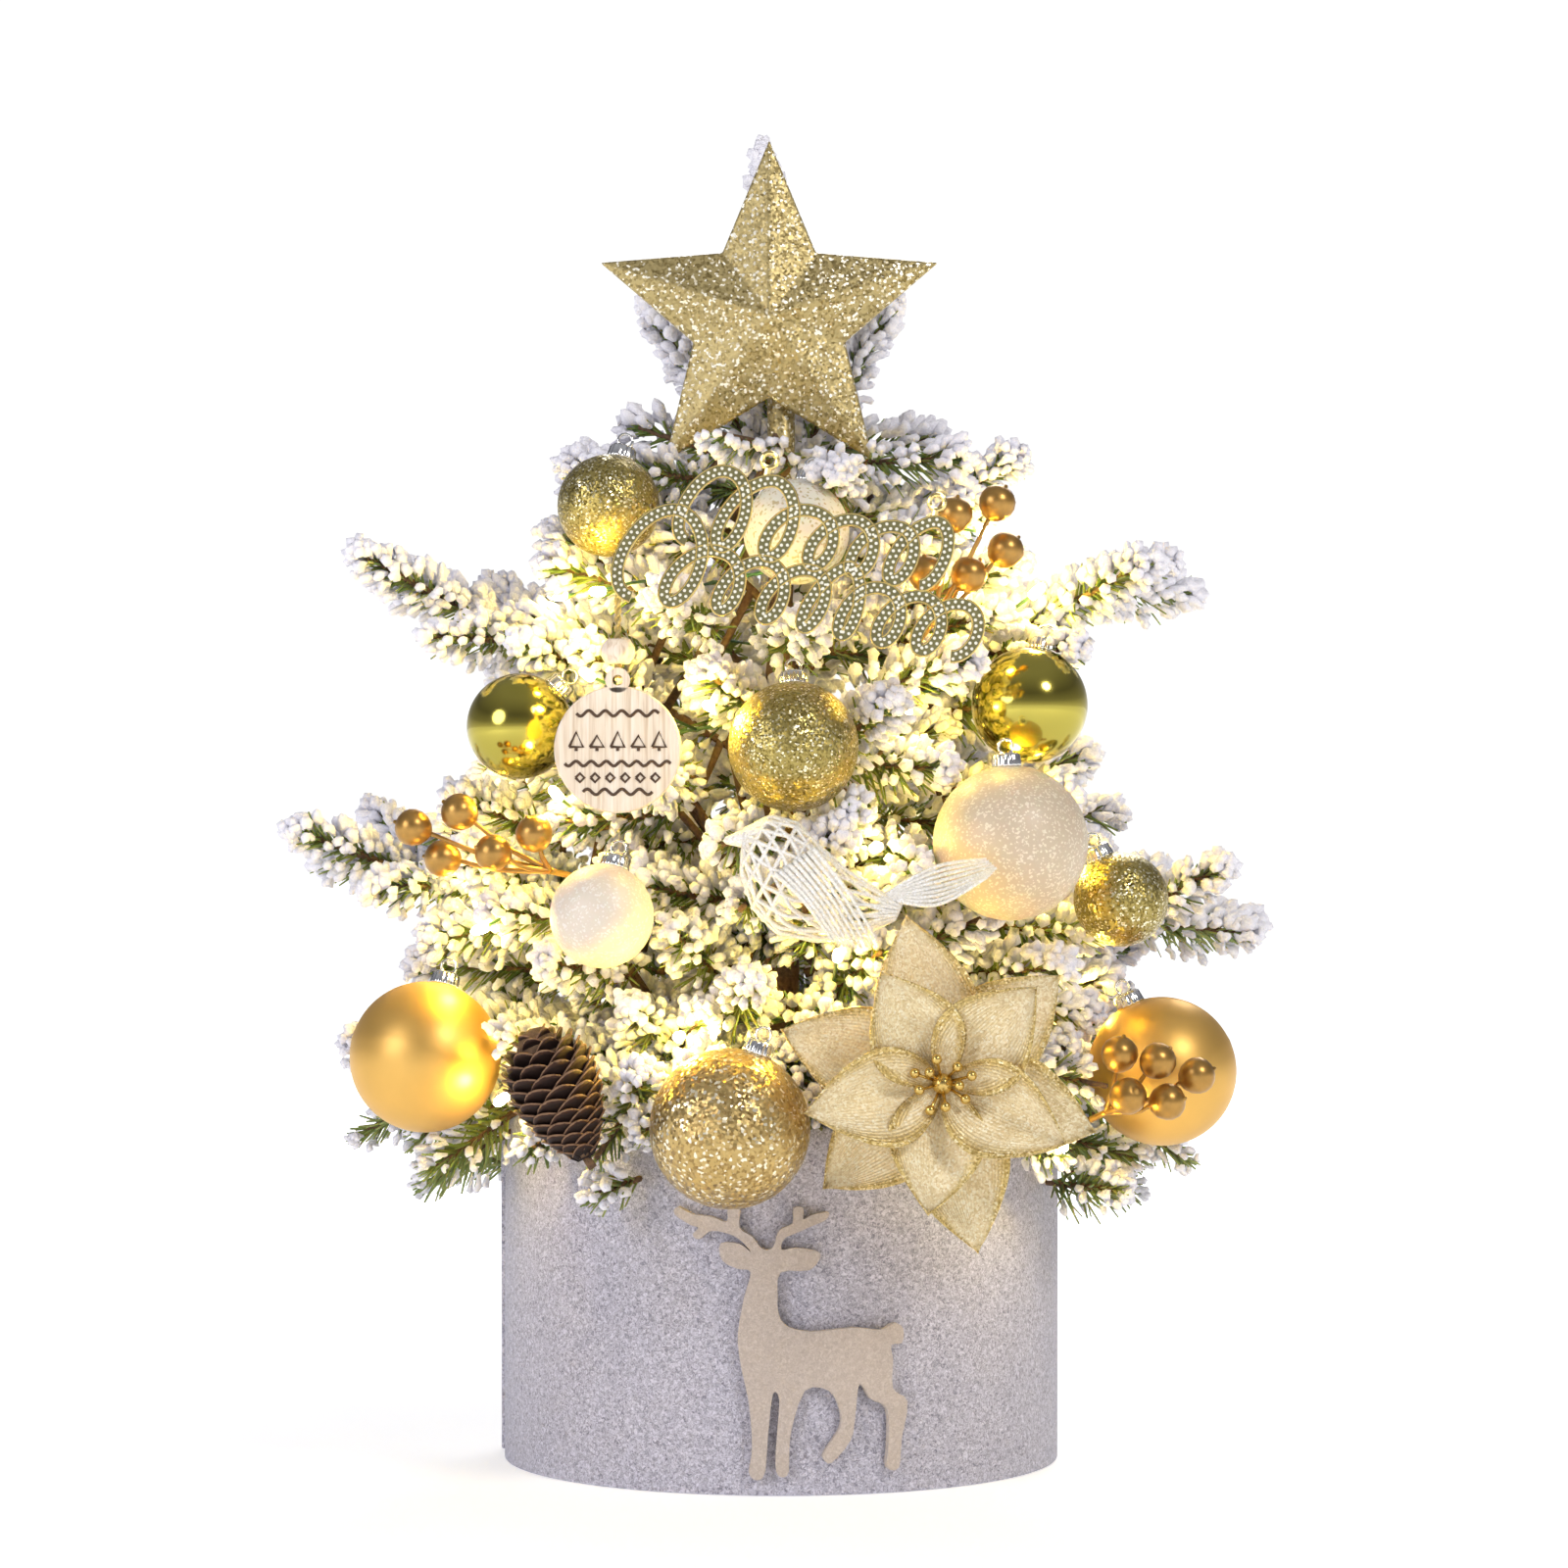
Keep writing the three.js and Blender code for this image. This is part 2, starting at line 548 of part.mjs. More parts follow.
function addFlower(parent) {
  const flower = new THREE.Group();
  flower.position.set(...FLOWER_CENTRE);
  flower.rotation.x = Math.PI / 2;
  parent.add(flower);
  const cloth = finish(COLOURS.petal, 0.7, 0.2);
  addMesh(flower, "flower_outer_petals", petals(6, 42, 51, 30, 3, 0), cloth);
  addMesh(flower, "flower_inner_petals", petals(5, 47, 43, 25, -11, 2.4), cloth);
  const stamens = [new THREE.CylinderGeometry(4.5, 4.5, 2, 8).rotateX(Math.PI / 2).translate(0, 0, 6)];
  for (let i = 0; i < 8; i += 1) {
    const angle = (2 * Math.PI * i) / 8;
    stamens.push(ball([6.3 * Math.cos(angle), 6.3 * Math.sin(angle), 8.4], 2.7, 6, 3));
  }
  stamens.push(ball([0, 0, 9], 3, 6, 3));
  addMesh(flower, "flower_stamens", geometryOf(joined(stamens)), finish(COLOURS.stamen, 0.4, 0.6));
}

// ---------- cone and berries ----------
function addCone(parent) {
  const half = CONE_LENGTH / 2;
  const profile = [
    [0, -half], [0.62 * CONE_RADIUS, -half], [CONE_RADIUS, -0.35 * half], [0.86 * CONE_RADIUS, 0.25 * half],
    [0.4 * CONE_RADIUS, 0.85 * half], [0, half],
  ];
  const cone = addMesh(parent, "pine_cone", turned(profile, 12), finish(COLOURS.cone, 0.85, 0));
  cone.position.set(...CONE_CENTRE);
  cone.rotation.y = radians(90 + CONE_DIP);
}

function sprayPieces(spray, grow) {
  const pieces = [rod(spray.foot, spray.knot, 1 + grow, 5), ball(spray.knot, 1.6 + grow, 5, 3)];
  for (const berry of spray.berries) {
    pieces.push(ball(berry, BERRY_RADIUS + grow, 7, 4), rod(spray.knot, berry, 0.8 + grow, 3));
  }
  return joined(pieces);
}

// ---------- baubles ----------
function addBauble(parent, spec) {
  const bauble = new THREE.Group();
  bauble.position.set(...spec.at);
  parent.add(bauble);
  const flat = spec.cap ? Math.asin(4 / spec.radius) : 0;
  const profile = [];
  for (let i = 0; i <= BALL_ROWS; i += 1) {
    const angle = Math.PI - ((Math.PI - flat) * i) / BALL_ROWS;
    profile.push([spec.radius * Math.sin(angle), spec.radius * Math.cos(angle)]);
  }
  profile[0][0] = 0;
  const crown = spec.radius * Math.cos(flat);
  if (spec.cap) {
    profile.push([0, crown]);
    const up = vector(spec.cap).normalize();
    bauble.quaternion.setFromUnitVectors(new THREE.Vector3(0, 0, 1), up);
  } else {
    profile[BALL_ROWS][0] = 0;
  }
  const shell = geometryOf(solidOf(turned(profile, BALL_SIDES)));
  addMesh(bauble, spec.name, shell, finish(spec.colour, 0.3, 0.7));
  if (spec.cap) {
    const base = crown + GAP;
    const top = base + CAP_HEIGHT;
    const lip = CAP_RADIUS - 1;
    const cupProfile = [[0, base], [CAP_RADIUS, base], [CAP_RADIUS, top - 1], [lip, top], [0, top]];
    const loop = new THREE.TorusGeometry(2.4, 0.6, 4, 7).rotateX(Math.PI / 2);
    const cap = joined([turned(cupProfile, 8), loop.translate(0, 0, top + 2)]);
    addMesh(bauble, spec.name.replace("bauble", "cap"), geometryOf(cap), finish(COLOURS.chrome, 0.25, 1));
  }
}

// ---------- foliage ----------
// Where a branch's wire is, from the trunk (0) to its tip (1).
function spine(branch, share) {
  const angle = radians(branch.turn);
  const out = branch.reach * share;
  const rise = (branch.tip - branch.root) * share + branch.arch * 4 * share * (1 - share);
  return [out * Math.cos(angle), out * Math.sin(angle), branch.root + rise];
}

// Every needle brush of a branch: its own tip and the side sprigs, left and right in turn.
function brushLines(branch) {
  const lines = [{ from: spine(branch, BRUSH_START), to: spine(branch, 1), radius: BRUSH_RADIUS }];
  for (let i = 0; i < branch.sprigs; i += 1) {
    const side = i % 2 === 0 ? 1 : -1;
    const from = spine(branch, 0.4 + (0.42 * i) / (branch.sprigs - 1));
    const yaw = radians(branch.turn + side * (56 - 4 * i));
    const pitch = radians(16 + 16 * Math.sin(2.3 * i + branch.turn));
    const length = branch.size * (1 - 0.08 * i);
    lines.push({
      from,
      to: [
        from[0] + length * Math.cos(pitch) * Math.cos(yaw),
        from[1] + length * Math.cos(pitch) * Math.sin(yaw),
        from[2] + length * Math.sin(pitch),
      ],
      radius: SPRIG_RADIUS,
    });
  }
  return lines;
}

function leaderLines() {
  return LEADER_TIPS.map((tip) => ({ from: LEADER_STEM[1], to: tip, radius: LEADER_RADIUS }));
}

// The room that the trimmings, the pot and the wire need inside the needles.
function roomCutters() {
  const [feltIn, feltOut] = [POT_RADIUS - FELT - 1, POT_RADIUS + FELT + 1];
  const rim = POT_HEIGHT + 1;
  const feltRoom = [[feltIn, 60], [feltOut, 60], [feltOut, rim], [feltIn, rim], [feltIn, 60]];
  const [starX, , starZ] = STAR_CENTRE;
  const [flowerX, , flowerZ] = FLOWER_CENTRE;
  const flowerRoom = turned([[0, 0], [54, 0], [54, 60], [0, 60]], 16);
  const coneRoom = ball([0, 0, 0], 1, 8, 6);
  coneRoom.scale(CONE_LENGTH / 2 + 4, CONE_RADIUS + 4, CONE_RADIUS + 4);
  const cutters = [
    turned(feltRoom, ROUND),
    wireSolid(WIRE_RADIUS + 1),
    slab([starX - STAR_OUTER, -60, starZ - 52], [starX + STAR_OUTER, 7, starZ + STAR_OUTER + STAR_LIFT]),
    rod([0, 0, 50], [0, 0, TRUNK_TOP + STAR_LIFT], TRUNK_RADIUS + GAP, 12),
    slab([-62, -180, 262], [70, -103, 336]),
    slab([-78, -180, 214], [-26, -94, 292]),
    slab([-22, -180, 173], [72, -112, 222]),
    alongLine(flowerRoom, [flowerX, -118, flowerZ], [flowerX, -180, flowerZ]),
    coneRoom.rotateY(radians(CONE_DIP)).translate(...CONE_CENTRE),
  ];
  for (const bauble of BAUBLES) {
    cutters.push(ball(bauble.at, bauble.radius * 1.12 + 1, 8, 5));
    if (bauble.cap) {
      const up = vector(bauble.cap).normalize();
      const reach = vector(bauble.at).addScaledVector(up, bauble.radius + CAP_HEIGHT + 6);
      cutters.push(rod(bauble.at, reach.toArray(), CAP_RADIUS + 1.5, 8));
    }
  }
  const solids = cutters.map(solidOf);
  for (const spray of SPRAYS) {
    solids.push(sprayPieces(spray, 0.8));
  }
  return solids;
}

function boxesMeet(a, b) {
  const [first, second] = [a.boundingBox(), b.boundingBox()];
  return [0, 1, 2].every((axis) => first.min[axis] < second.max[axis] && second.min[axis] < first.max[axis]);
}

function addFoliage(parent) {
  const needles = finish(COLOURS.foliage, 1, 0);
  const taken = roomCutters();
  const plants = BRANCHES.map((branch) => ({
    name: branch.name,
    stem: [spine(branch, (TRUNK_RADIUS + GAP) / branch.reach + 0.01), spine(branch, BRUSH_START + 0.05)],
    lines: brushLines(branch),
  }));
  plants.push({ name: "top_leader", stem: LEADER_STEM, lines: leaderLines() });
  for (const plant of plants) {
    const pieces = (grow) => joined([
      rod(plant.stem[0], plant.stem[1], STEM_RADIUS + grow),
      ...plant.lines.map((line) => brush(line.from, line.to, line.radius + grow)),
    ]);
    let solid = pieces(0);
    for (const room of taken) {
      if (boxesMeet(solid, room)) {
        solid = solid.subtract(room);
      }
    }
    addMesh(parent, plant.name, geometryOf(largestBody(solid)), needles);
    taken.push(pieces(GAP));
  }
}

// ---------- the tree ----------
const group = new THREE.Group();
addPot(group);
addTrunk(group);
addDeer(group);
addBatteryBox(group);
addMesh(group, "light_string", geometryOf(solidOf(wireSolid(WIRE_RADIUS))), finish(COLOURS.wire, 0.6, 0));
addStar(group);
addPlaque(group);
addTag(group);
addBird(group);
addFlower(group);
addCone(group);
for (const spray of SPRAYS) {
  addMesh(group, spray.name, geometryOf(sprayPieces(spray, 0)), finish(COLOURS.berry, 0.35, 0.5));
}
for (const spec of BAUBLES) {
  addBauble(group, spec);
}
addFoliage(group);

export default group;
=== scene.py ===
"""Flocked tabletop Christmas tree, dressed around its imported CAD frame. Metres, +Z up."""
import json
from math import cos, hypot, pi, radians, sin, sqrt

import bmesh
import bpy
import numpy as np
from mathutils import Matrix, Vector


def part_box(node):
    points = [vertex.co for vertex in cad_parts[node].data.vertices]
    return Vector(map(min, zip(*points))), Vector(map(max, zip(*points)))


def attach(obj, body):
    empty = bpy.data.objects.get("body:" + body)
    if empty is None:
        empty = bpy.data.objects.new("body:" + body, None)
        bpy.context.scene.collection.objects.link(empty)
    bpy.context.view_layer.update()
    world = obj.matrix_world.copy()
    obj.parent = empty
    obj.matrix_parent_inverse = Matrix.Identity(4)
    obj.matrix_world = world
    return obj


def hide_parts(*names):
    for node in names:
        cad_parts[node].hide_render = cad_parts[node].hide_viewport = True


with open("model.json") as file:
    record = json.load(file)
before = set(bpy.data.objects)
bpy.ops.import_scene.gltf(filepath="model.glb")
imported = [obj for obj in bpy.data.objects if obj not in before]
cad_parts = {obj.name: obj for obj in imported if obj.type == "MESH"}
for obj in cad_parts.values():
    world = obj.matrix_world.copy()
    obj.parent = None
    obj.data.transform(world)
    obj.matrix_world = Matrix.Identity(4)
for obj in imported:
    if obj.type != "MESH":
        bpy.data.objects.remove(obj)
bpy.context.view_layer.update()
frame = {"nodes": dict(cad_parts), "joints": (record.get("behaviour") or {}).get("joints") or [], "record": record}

MM = 0.001
TURN = 2 * pi
GOLDEN = pi * (3 - sqrt(5))
BODIES = frame["record"]["behaviour"]["bodies"]


# ---------- small helpers ----------
def unit(v):
    return v / np.linalg.norm(v, axis=-1, keepdims=True)


def centre_of(node):
    low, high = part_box(node)
    return np.array((low + high) / 2)


def joint_of(body):
    return next((j for j in frame["joints"] if j["child"] == body), None)


def moved(points, matrix):
    """The points, taken through a 4 by 4 matrix."""
    m = np.array(matrix)
    return np.asarray(points, float) @ m[:3, :3].T + m[:3, 3]


def linked(name, data, at=(0, 0, 0)):
    """An object of this data, in the scene."""
    made = bpy.data.objects.new(name, data)
    made.location = at
    bpy.context.scene.collection.objects.link(made)
    return made


def mesh_piece(name, vertices, faces, looks, indices=None, smooth=True):
    """One mesh object from corner places, faces (lists or a triangle array) and its looks in MATERIALS."""
    mesh = bpy.data.meshes.new(name)
    vertices = np.asarray(vertices, np.float32)
    if isinstance(faces, np.ndarray):
        mesh.vertices.add(len(vertices))
        mesh.vertices.foreach_set("co", vertices.ravel())
        mesh.loops.add(faces.size)
        mesh.loops.foreach_set("vertex_index", faces.astype(np.int32).ravel())
        mesh.polygons.add(len(faces))
        mesh.polygons.foreach_set("loop_start", np.arange(0, faces.size, faces.shape[1], dtype=np.int32))
        mesh.update(calc_edges=True)
    else:
        mesh.from_pydata(vertices.tolist(), [], faces)
    for look in looks:
        mesh.materials.append(MATERIALS[look])
    if indices is not None:
        mesh.polygons.foreach_set("material_index", np.asarray(indices, np.int32))
    mesh.polygons.foreach_set("use_smooth", np.full(len(mesh.polygons), smooth))
    mesh.validate()
    return linked(name, mesh)


def shares(piece, name, values):
    """A value for each point, for a material to read."""
    layer = piece.data.attributes.new(name, "FLOAT", "POINT")
    layer.data.foreach_set("value", np.array(values, np.float32))


def place(piece, body, slot, *nodes):
    """The piece rides on a body and stands for CAD nodes, which it hides. slot is not used."""
    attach(piece, body)
    if nodes:
        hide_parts(*nodes)
    return piece


class Build:
    """Collects closed shapes into one mesh."""

    def __init__(self):
        self.vertices, self.faces, self.indices, self.count = [], [], [], 0

    def add(self, vertices, faces, index=0, matrix=None):
        self.vertices.append(np.asarray(vertices, float) if matrix is None else moved(vertices, matrix))
        self.faces.extend([[c + self.count for c in face] for face in faces])
        self.indices.extend([index] * len(faces))
        self.count += len(vertices)

    def finish(self, name, looks, body, slot, *nodes, smooth=True):
        piece = mesh_piece(name, np.concatenate(self.vertices), self.faces, looks, self.indices, smooth)
        return place(piece, body, slot, *nodes)


def turned(profile, sides, wave=None):
    """A body turned about +Z from (radius, height) points that start and end on the axis."""
    vertices, rings = [], []
    for k, (radius, height) in enumerate(profile):
        if radius < 1e-9:
            rings.append([len(vertices)])
            vertices.append((0, 0, height))
            continue
        rings.append(range(len(vertices), len(vertices) + sides))
        for i in range(sides):
            angle = TURN * i / sides
            r = radius * (wave(angle, k) if wave else 1)
            vertices.append((r * cos(angle), r * sin(angle), height))
    faces = []
    for a, b in zip(rings, rings[1:]):
        for i in range(sides):
            j = (i + 1) % sides
            if len(a) == 1 and len(b) > 1:
                faces.append([a[0], b[j], b[i]])
            elif len(b) == 1 and len(a) > 1:
                faces.append([a[i], a[j], b[0]])
            elif len(a) > 1:
                faces.append([a[i], a[j], b[j], b[i]])
    return vertices, faces


def between_rings(count, size, closed=False, outward=True):
    """Faces that join each ring of points to the next one."""
    faces = []
    for k in range(count if closed else count - 1):
        a, b = k * size, (k + 1) % count * size
        for i in range(size):
            j = (i + 1) % size
            faces.append([a + i, a + j, b + j, b + i] if outward else [a + i, b + i, b + j, a + j])
    return faces


def grid_faces(rows, columns, base=0):
    """Faces of a sheet of (rows + 1) by (columns + 1) points."""
    wide = columns + 1
    corners = [base + i * wide + j for i in range(rows) for j in range(columns)]
    return [[a, a + wide, a + wide + 1, a + 1] for a in corners]


def ring_turned(profile, sides):
    """A ring turned about +Z from a closed (radius, height) profile, anticlockwise."""
    angles = [TURN * i / sides for i in range(sides)]
    vertices = [(r * cos(angle), r * sin(angle), z) for angle in angles for r, z in profile]
    return vertices, between_rings(sides, len(profile), closed=True, outward=False)


def tube(points, radius, sides=8, closed=False):
    """A closed tube along points. radius is a number or one for each point."""
    points = np.asarray(points, float)
    count = len(points)
    radii = np.full(count, radius) if np.isscalar(radius) else np.asarray(radius, float)
    if closed:
        ahead = np.roll(points, -1, 0) - np.roll(points, 1, 0)
    else:
        ahead = np.gradient(points, axis=0)
    ahead = unit(ahead)
    helper = np.array([0.0, 1.0, 0.0]) if abs(ahead[0][1]) < 0.9 else np.array([1.0, 0.0, 0.0])
    side = unit(np.cross(ahead[0], helper))
    up = np.cross(ahead[0], side)
    vertices = []
    for k in range(count):
        level = side - ahead[k] * np.dot(side, ahead[k])
        side = unit(level if np.linalg.norm(level) > 0.4 else np.cross(up, ahead[k]))
        up = np.cross(ahead[k], side)
        for i in range(sides):
            angle = TURN * i / sides
            vertices.append(points[k] + radii[k] * (cos(angle) * side + sin(angle) * up))
    faces = between_rings(count, sides, closed)
    if not closed:
        faces.append(list(range(sides))[::-1])
        faces.append([(count - 1) * sides + i for i in range(sides)])
    return vertices, faces


def ball_profile(radius, down, seam=0):
    """A ball's (radius, height) outline in so many steps, with a raised seam round its middle."""
    outline = [((radius + (seam if k == down // 2 else 0)) * sin(pi * k / down), -radius * cos(pi * k / down))
               for k in range(1, down)]
    return [(0, -radius)] + outline + [(0, radius)]


def sphere(centre, radius, around, down):
    vertices, faces = turned(ball_profile(radius, down), around)
    return np.array(vertices) + centre, faces


def along(direction, start=(0, 0, 0)):
    """Turns +Z to a direction and moves the origin to start."""
    turn = Vector((0, 0, 1)).rotation_difference(Vector(direction)).to_matrix().to_4x4()
    return Matrix.Translation(Vector(start)) @ turn


def bowed(build, start, end, bow, radius, sides, steps=6):
    """A bar whose middle is pushed aside by bow. radius is a number or a (start, end) pair."""
    line = smooth_path([start, (start + end) / 2 + bow, end], steps)
    build.add(*tube(line, np.linspace(*radius, len(line)) if isinstance(radius, tuple) else radius, sides))


def eyelet(build, centre, across, rise, bar, steps, sides, index=0, matrix=None):
    """A wire ring; across and rise are its two half axes."""
    angles = np.linspace(0, TURN, steps, endpoint=False)[:, None]
    ring = np.asarray(centre) + np.cos(angles) * across + np.sin(angles) * rise
    build.add(*tube(ring, bar, sides, closed=True), index, matrix)


def twisted_pair(build, path, side, up, travelled, lay, offset, radius, sides):
    """Two strands that wind round a path, once for each lay of travelled length."""
    for phase in (0, pi):
        angle = (phase + travelled / lay * TURN)[:, None]
        build.add(*tube(path + offset * (np.cos(angle) * side + np.sin(angle) * up), radius, sides))


def smooth_path(points, steps, closed=False):
    """A Catmull-Rom curve through points, with steps between each pair."""
    points = np.asarray(points, float)
    count = len(points)
    made = []
    for i in range(count if closed else count - 1):
        around = [(i + k) % count if closed else min(max(i + k, 0), count - 1) for k in (-1, 0, 1, 2)]
        a, b, c, d = points[around]
        for s in range(steps):
            t = s / steps
            made.append(0.5 * (2 * b + (c - a) * t + (2 * a - 5 * b + 4 * c - d) * t * t
                               + (3 * b - a - 3 * c + d) * t ** 3))
    if not closed:
        made.append(points[-1])
    return np.array(made)


# ---------- materials ----------
def node(tree, kind, inputs=None, **settings):
    """A shader node of a kind; each input is a value or the socket that feeds it."""
    new = tree.nodes.new("ShaderNode" + kind)
    for key, value in settings.items():
        setattr(new, key, value)
    for key, value in (inputs or {}).items():
        if isinstance(value, bpy.types.NodeSocket):
            tree.links.new(value, new.inputs[key])
        else:
            new.inputs[key].default_value = value
    return new


def principled(name, colour, roughness=0.5, metallic=0.0, **extra):
    material = bpy.data.materials.new(name)
    material.use_nodes = True
    tree = material.node_tree
    shader = tree.nodes["Principled BSDF"]
    shader.inputs["Base Color"].default_value = (*colour, 1)
    shader.inputs["Roughness"].default_value = roughness
    shader.inputs["Metallic"].default_value = metallic
    for key, value in extra.items():
        shader.inputs[key.replace("_", " ")].default_value = value
    return material, tree, shader


def object_place(tree, scale=(1, 1, 1)):
    place_in = node(tree, "TexCoord").outputs["Object"]
    return node(tree, "Mapping", {"Vector": place_in, "Scale": scale}).outputs["Vector"]


def ramp(tree, factor, stops):
    made = node(tree, "ValToRGB", {"Fac": factor})
    band = made.color_ramp
    while len(band.elements) < len(stops):
        band.elements.new(0.5)
    for element, (position, colour) in zip(band.elements, stops):
        element.position = position
        element.color = (*colour, 1)
    return made.outputs["Color"]


def bump(tree, shader, height, strength, distance):
    made = node(tree, "Bump", {"Height": height, "Strength": strength, "Distance": distance})
    tree.links.new(made.outputs["Normal"], shader.inputs["Normal"])


def slanted_normal(tree, colour, tilt, surface=None):
    """A normal that every cell tilts its own way."""
    surface = surface or node(tree, "NewGeometry").outputs["Normal"]
    slant = node(tree, "VectorMath", {0: colour, 1: (0.5, 0.5, 0.5)}, operation="SUBTRACT")
    slant = node(tree, "VectorMath", {0: slant.outputs[0], "Scale": 2 * tilt}, operation="SCALE")
    total = node(tree, "VectorMath", {0: surface, 1: slant.outputs[0]}, operation="ADD")
    return node(tree, "VectorMath", {0: total.outputs[0]}, operation="NORMALIZE").outputs[0]


def cells_of(tree, flake):
    """The colour of every flake, and its three channels."""
    cells = node(tree, "TexVoronoi", {"Vector": object_place(tree), "Scale": 1 / flake})
    return cells.outputs["Color"], node(tree, "SeparateColor", {"Color": cells.outputs["Color"]}).outputs


def flaked(name, base, roughness, stops, flake, tilt, **extra):
    """Every flake takes its own colour from the stops and its own slant."""
    material, tree, shader = principled(name, base, roughness, **extra)
    colour, channels = cells_of(tree, flake)
    tree.links.new(ramp(tree, channels["Red"], stops), shader.inputs["Base Color"])
    tree.links.new(slanted_normal(tree, colour, tilt), shader.inputs["Normal"])
    return material


def glitter(name, dark, middle, light, flake, tilt, roughness, metallic):
    """Flakes of foil."""
    stops = [(0.0, dark), (0.5, middle), (0.86, middle), (0.93, light)]
    return flaked(name, middle, roughness, stops, flake, tilt, Metallic=metallic)


def felt(name, dark, middle, light, fibre):
    material, tree, shader = principled(name, middle, 1.0, Sheen_Weight=0.2, Sheen_Roughness=0.6)
    where = object_place(tree)
    mottle = node(tree, "TexNoise", {"Vector": where, "Scale": 1 / fibre, "Detail": 7.0,
                                               "Roughness": 0.7, "Distortion": 1.2})
    tree.links.new(ramp(tree, mottle.outputs["Fac"], [(0.36, dark), (0.5, middle), (0.63, light)]),
                   shader.inputs["Base Color"])
    strands = node(tree, "TexNoise", {"Vector": where, "Scale": 1.7 / fibre, "Detail": 4.0,
                                                "Distortion": 3.0})
    bump(tree, shader, strands.outputs["Fac"], 0.6, 0.0004)
    return material


def mottled(name, base, roughness, stops, noise, relief=None, stretch=(1, 1, 1), **extra):
    """A noise takes the colour from the stops and, with relief, raises the surface."""
    material, tree, shader = principled(name, base, roughness, **extra)
    tone = node(tree, "TexNoise", {"Vector": object_place(tree, stretch), **noise}).outputs["Fac"]
    tree.links.new(ramp(tree, tone, stops), shader.inputs["Base Color"])
    if relief:
        bump(tree, shader, tone, *relief)
    return material


def speckled(name, colour, roughness, grain, amount, distance, **extra):
    """A plain colour with a fine uneven surface and a slight tone change."""
    stops = [(0.3, tuple(c * (1 - amount) for c in colour)), (0.7, tuple(min(1, c * (1 + amount)) for c in colour))]
    return mottled(name, colour, roughness, stops, {"Scale": 1 / grain, "Detail": 5.0}, (0.4, distance), **extra)


def frosted(name, colour, sparkle, flake, glow):
    """Milky shell that light shines through, with fine glitter dust on it and a faint warm painted glow, as if the
    lamps lit it from inside.
    """
    # glow is a painted glow: warm emission that stands in for lamp light through the shell, which is no lamp.
    return flaked(name, colour, 0.4, [(0.78, colour), (0.84, sparkle)], flake, 0.07, Subsurface_Weight=0.3,
                  Subsurface_Scale=0.006, Emission_Color=(1.0, 0.84, 0.52, 1), Emission_Strength=glow)


def emitter(name, colour, strength):
    return principled(name, colour, 0.3, Emission_Color=(*colour, 1), Emission_Strength=strength)[0]


def petal_cloth():
    """Ribbed cloth with fine glitter, gold and coarser towards the rim."""
    material, tree, shader = principled("petal_cloth", (0.80, 0.68, 0.46), 0.5, 0.25, Sheen_Weight=0.3)
    colour, channels = cells_of(tree, 1 / 1600)
    cloth = ramp(tree, channels["Red"], [(0.0, (0.70, 0.54, 0.27)), (0.6, (0.88, 0.74, 0.45)),
                                         (1.0, (0.98, 0.90, 0.67))])
    gold = ramp(tree, channels["Green"], [(0.0, (0.38, 0.25, 0.06)), (0.8, (0.80, 0.62, 0.25)),
                                          (1.0, (1.0, 0.9, 0.6))])
    rim = node(tree, "Attribute", attribute_name="rim").outputs["Fac"]
    edge = node(tree, "MapRange", {"Value": rim, "From Min": 0.62, "From Max": 0.9}).outputs[0]
    # A colour mix has its two colours at sockets 6 and 7, and its result at 2.
    mixed = node(tree, "Mix", data_type="RGBA", inputs={"Factor": edge, 6: cloth, 7: gold})
    tree.links.new(mixed.outputs[2], shader.inputs["Base Color"])
    shine = node(tree, "MapRange", {"Value": edge, "To Min": 0.1, "To Max": 0.8})
    tree.links.new(shine.outputs[0], shader.inputs["Metallic"])
    along_rib = node(tree, "UVMap", uv_map="petal").outputs[0]
    ribs = node(tree, "TexWave", {"Vector": along_rib, "Scale": 9.0, "Distortion": 0.6}, bands_direction="Y")
    ridge = node(tree, "Bump", {"Height": ribs.outputs["Fac"], "Strength": 0.5, "Distance": 0.0004})
    tree.links.new(slanted_normal(tree, colour, 0.17, ridge.outputs["Normal"]), shader.inputs["Normal"])
    return material


def cone_paint():
    """Dark scales whose lips are pale: the tip attribute runs from 0 at the root to 1 at the lip."""
    material, tree, shader = principled("cone_scales", (0.12, 0.05, 0.025), 0.62, Specular_IOR_Level=0.3)
    tip = node(tree, "Attribute", attribute_name="tip").outputs["Fac"]
    noise = node(tree, "TexNoise", {"Vector": object_place(tree), "Scale": 700.0, "Detail": 4.0}).outputs["Fac"]
    uneven = node(tree, "Math", {0: noise, 1: 0.12, 2: -0.06}, operation="MULTIPLY_ADD")
    share = node(tree, "Math", {0: tip, 1: uneven.outputs[0]}, operation="ADD").outputs[0]
    stops = [(0.0, (0.006, 0.002, 0.0015)), (0.8, (0.014, 0.005, 0.003)), (0.96, (0.04, 0.014, 0.007)),
             (1.0, (0.26, 0.15, 0.085))]
    tree.links.new(ramp(tree, share, stops), shader.inputs["Base Color"])
    bump(tree, shader, noise, 0.4, 0.0003)
    return material


def floor_paint():
    """Pale paint that glows a little more away from the object, so the floor meets the studio without a line."""
    material, tree, shader = principled("floor_paint", (0.86, 0.86, 0.86), 0.9, Emission_Color=(1, 1, 1, 1))
    distance = node(tree, "VectorMath", {0: object_place(tree)}, operation="LENGTH").outputs["Value"]
    glow = node(tree, "MapRange", {"Value": distance, "From Min": 0.15, "From Max": 1.6,
                                             "To Min": 0.42, "To Max": 0.98})
    tree.links.new(glow.outputs[0], shader.inputs["Emission Strength"])
    return material


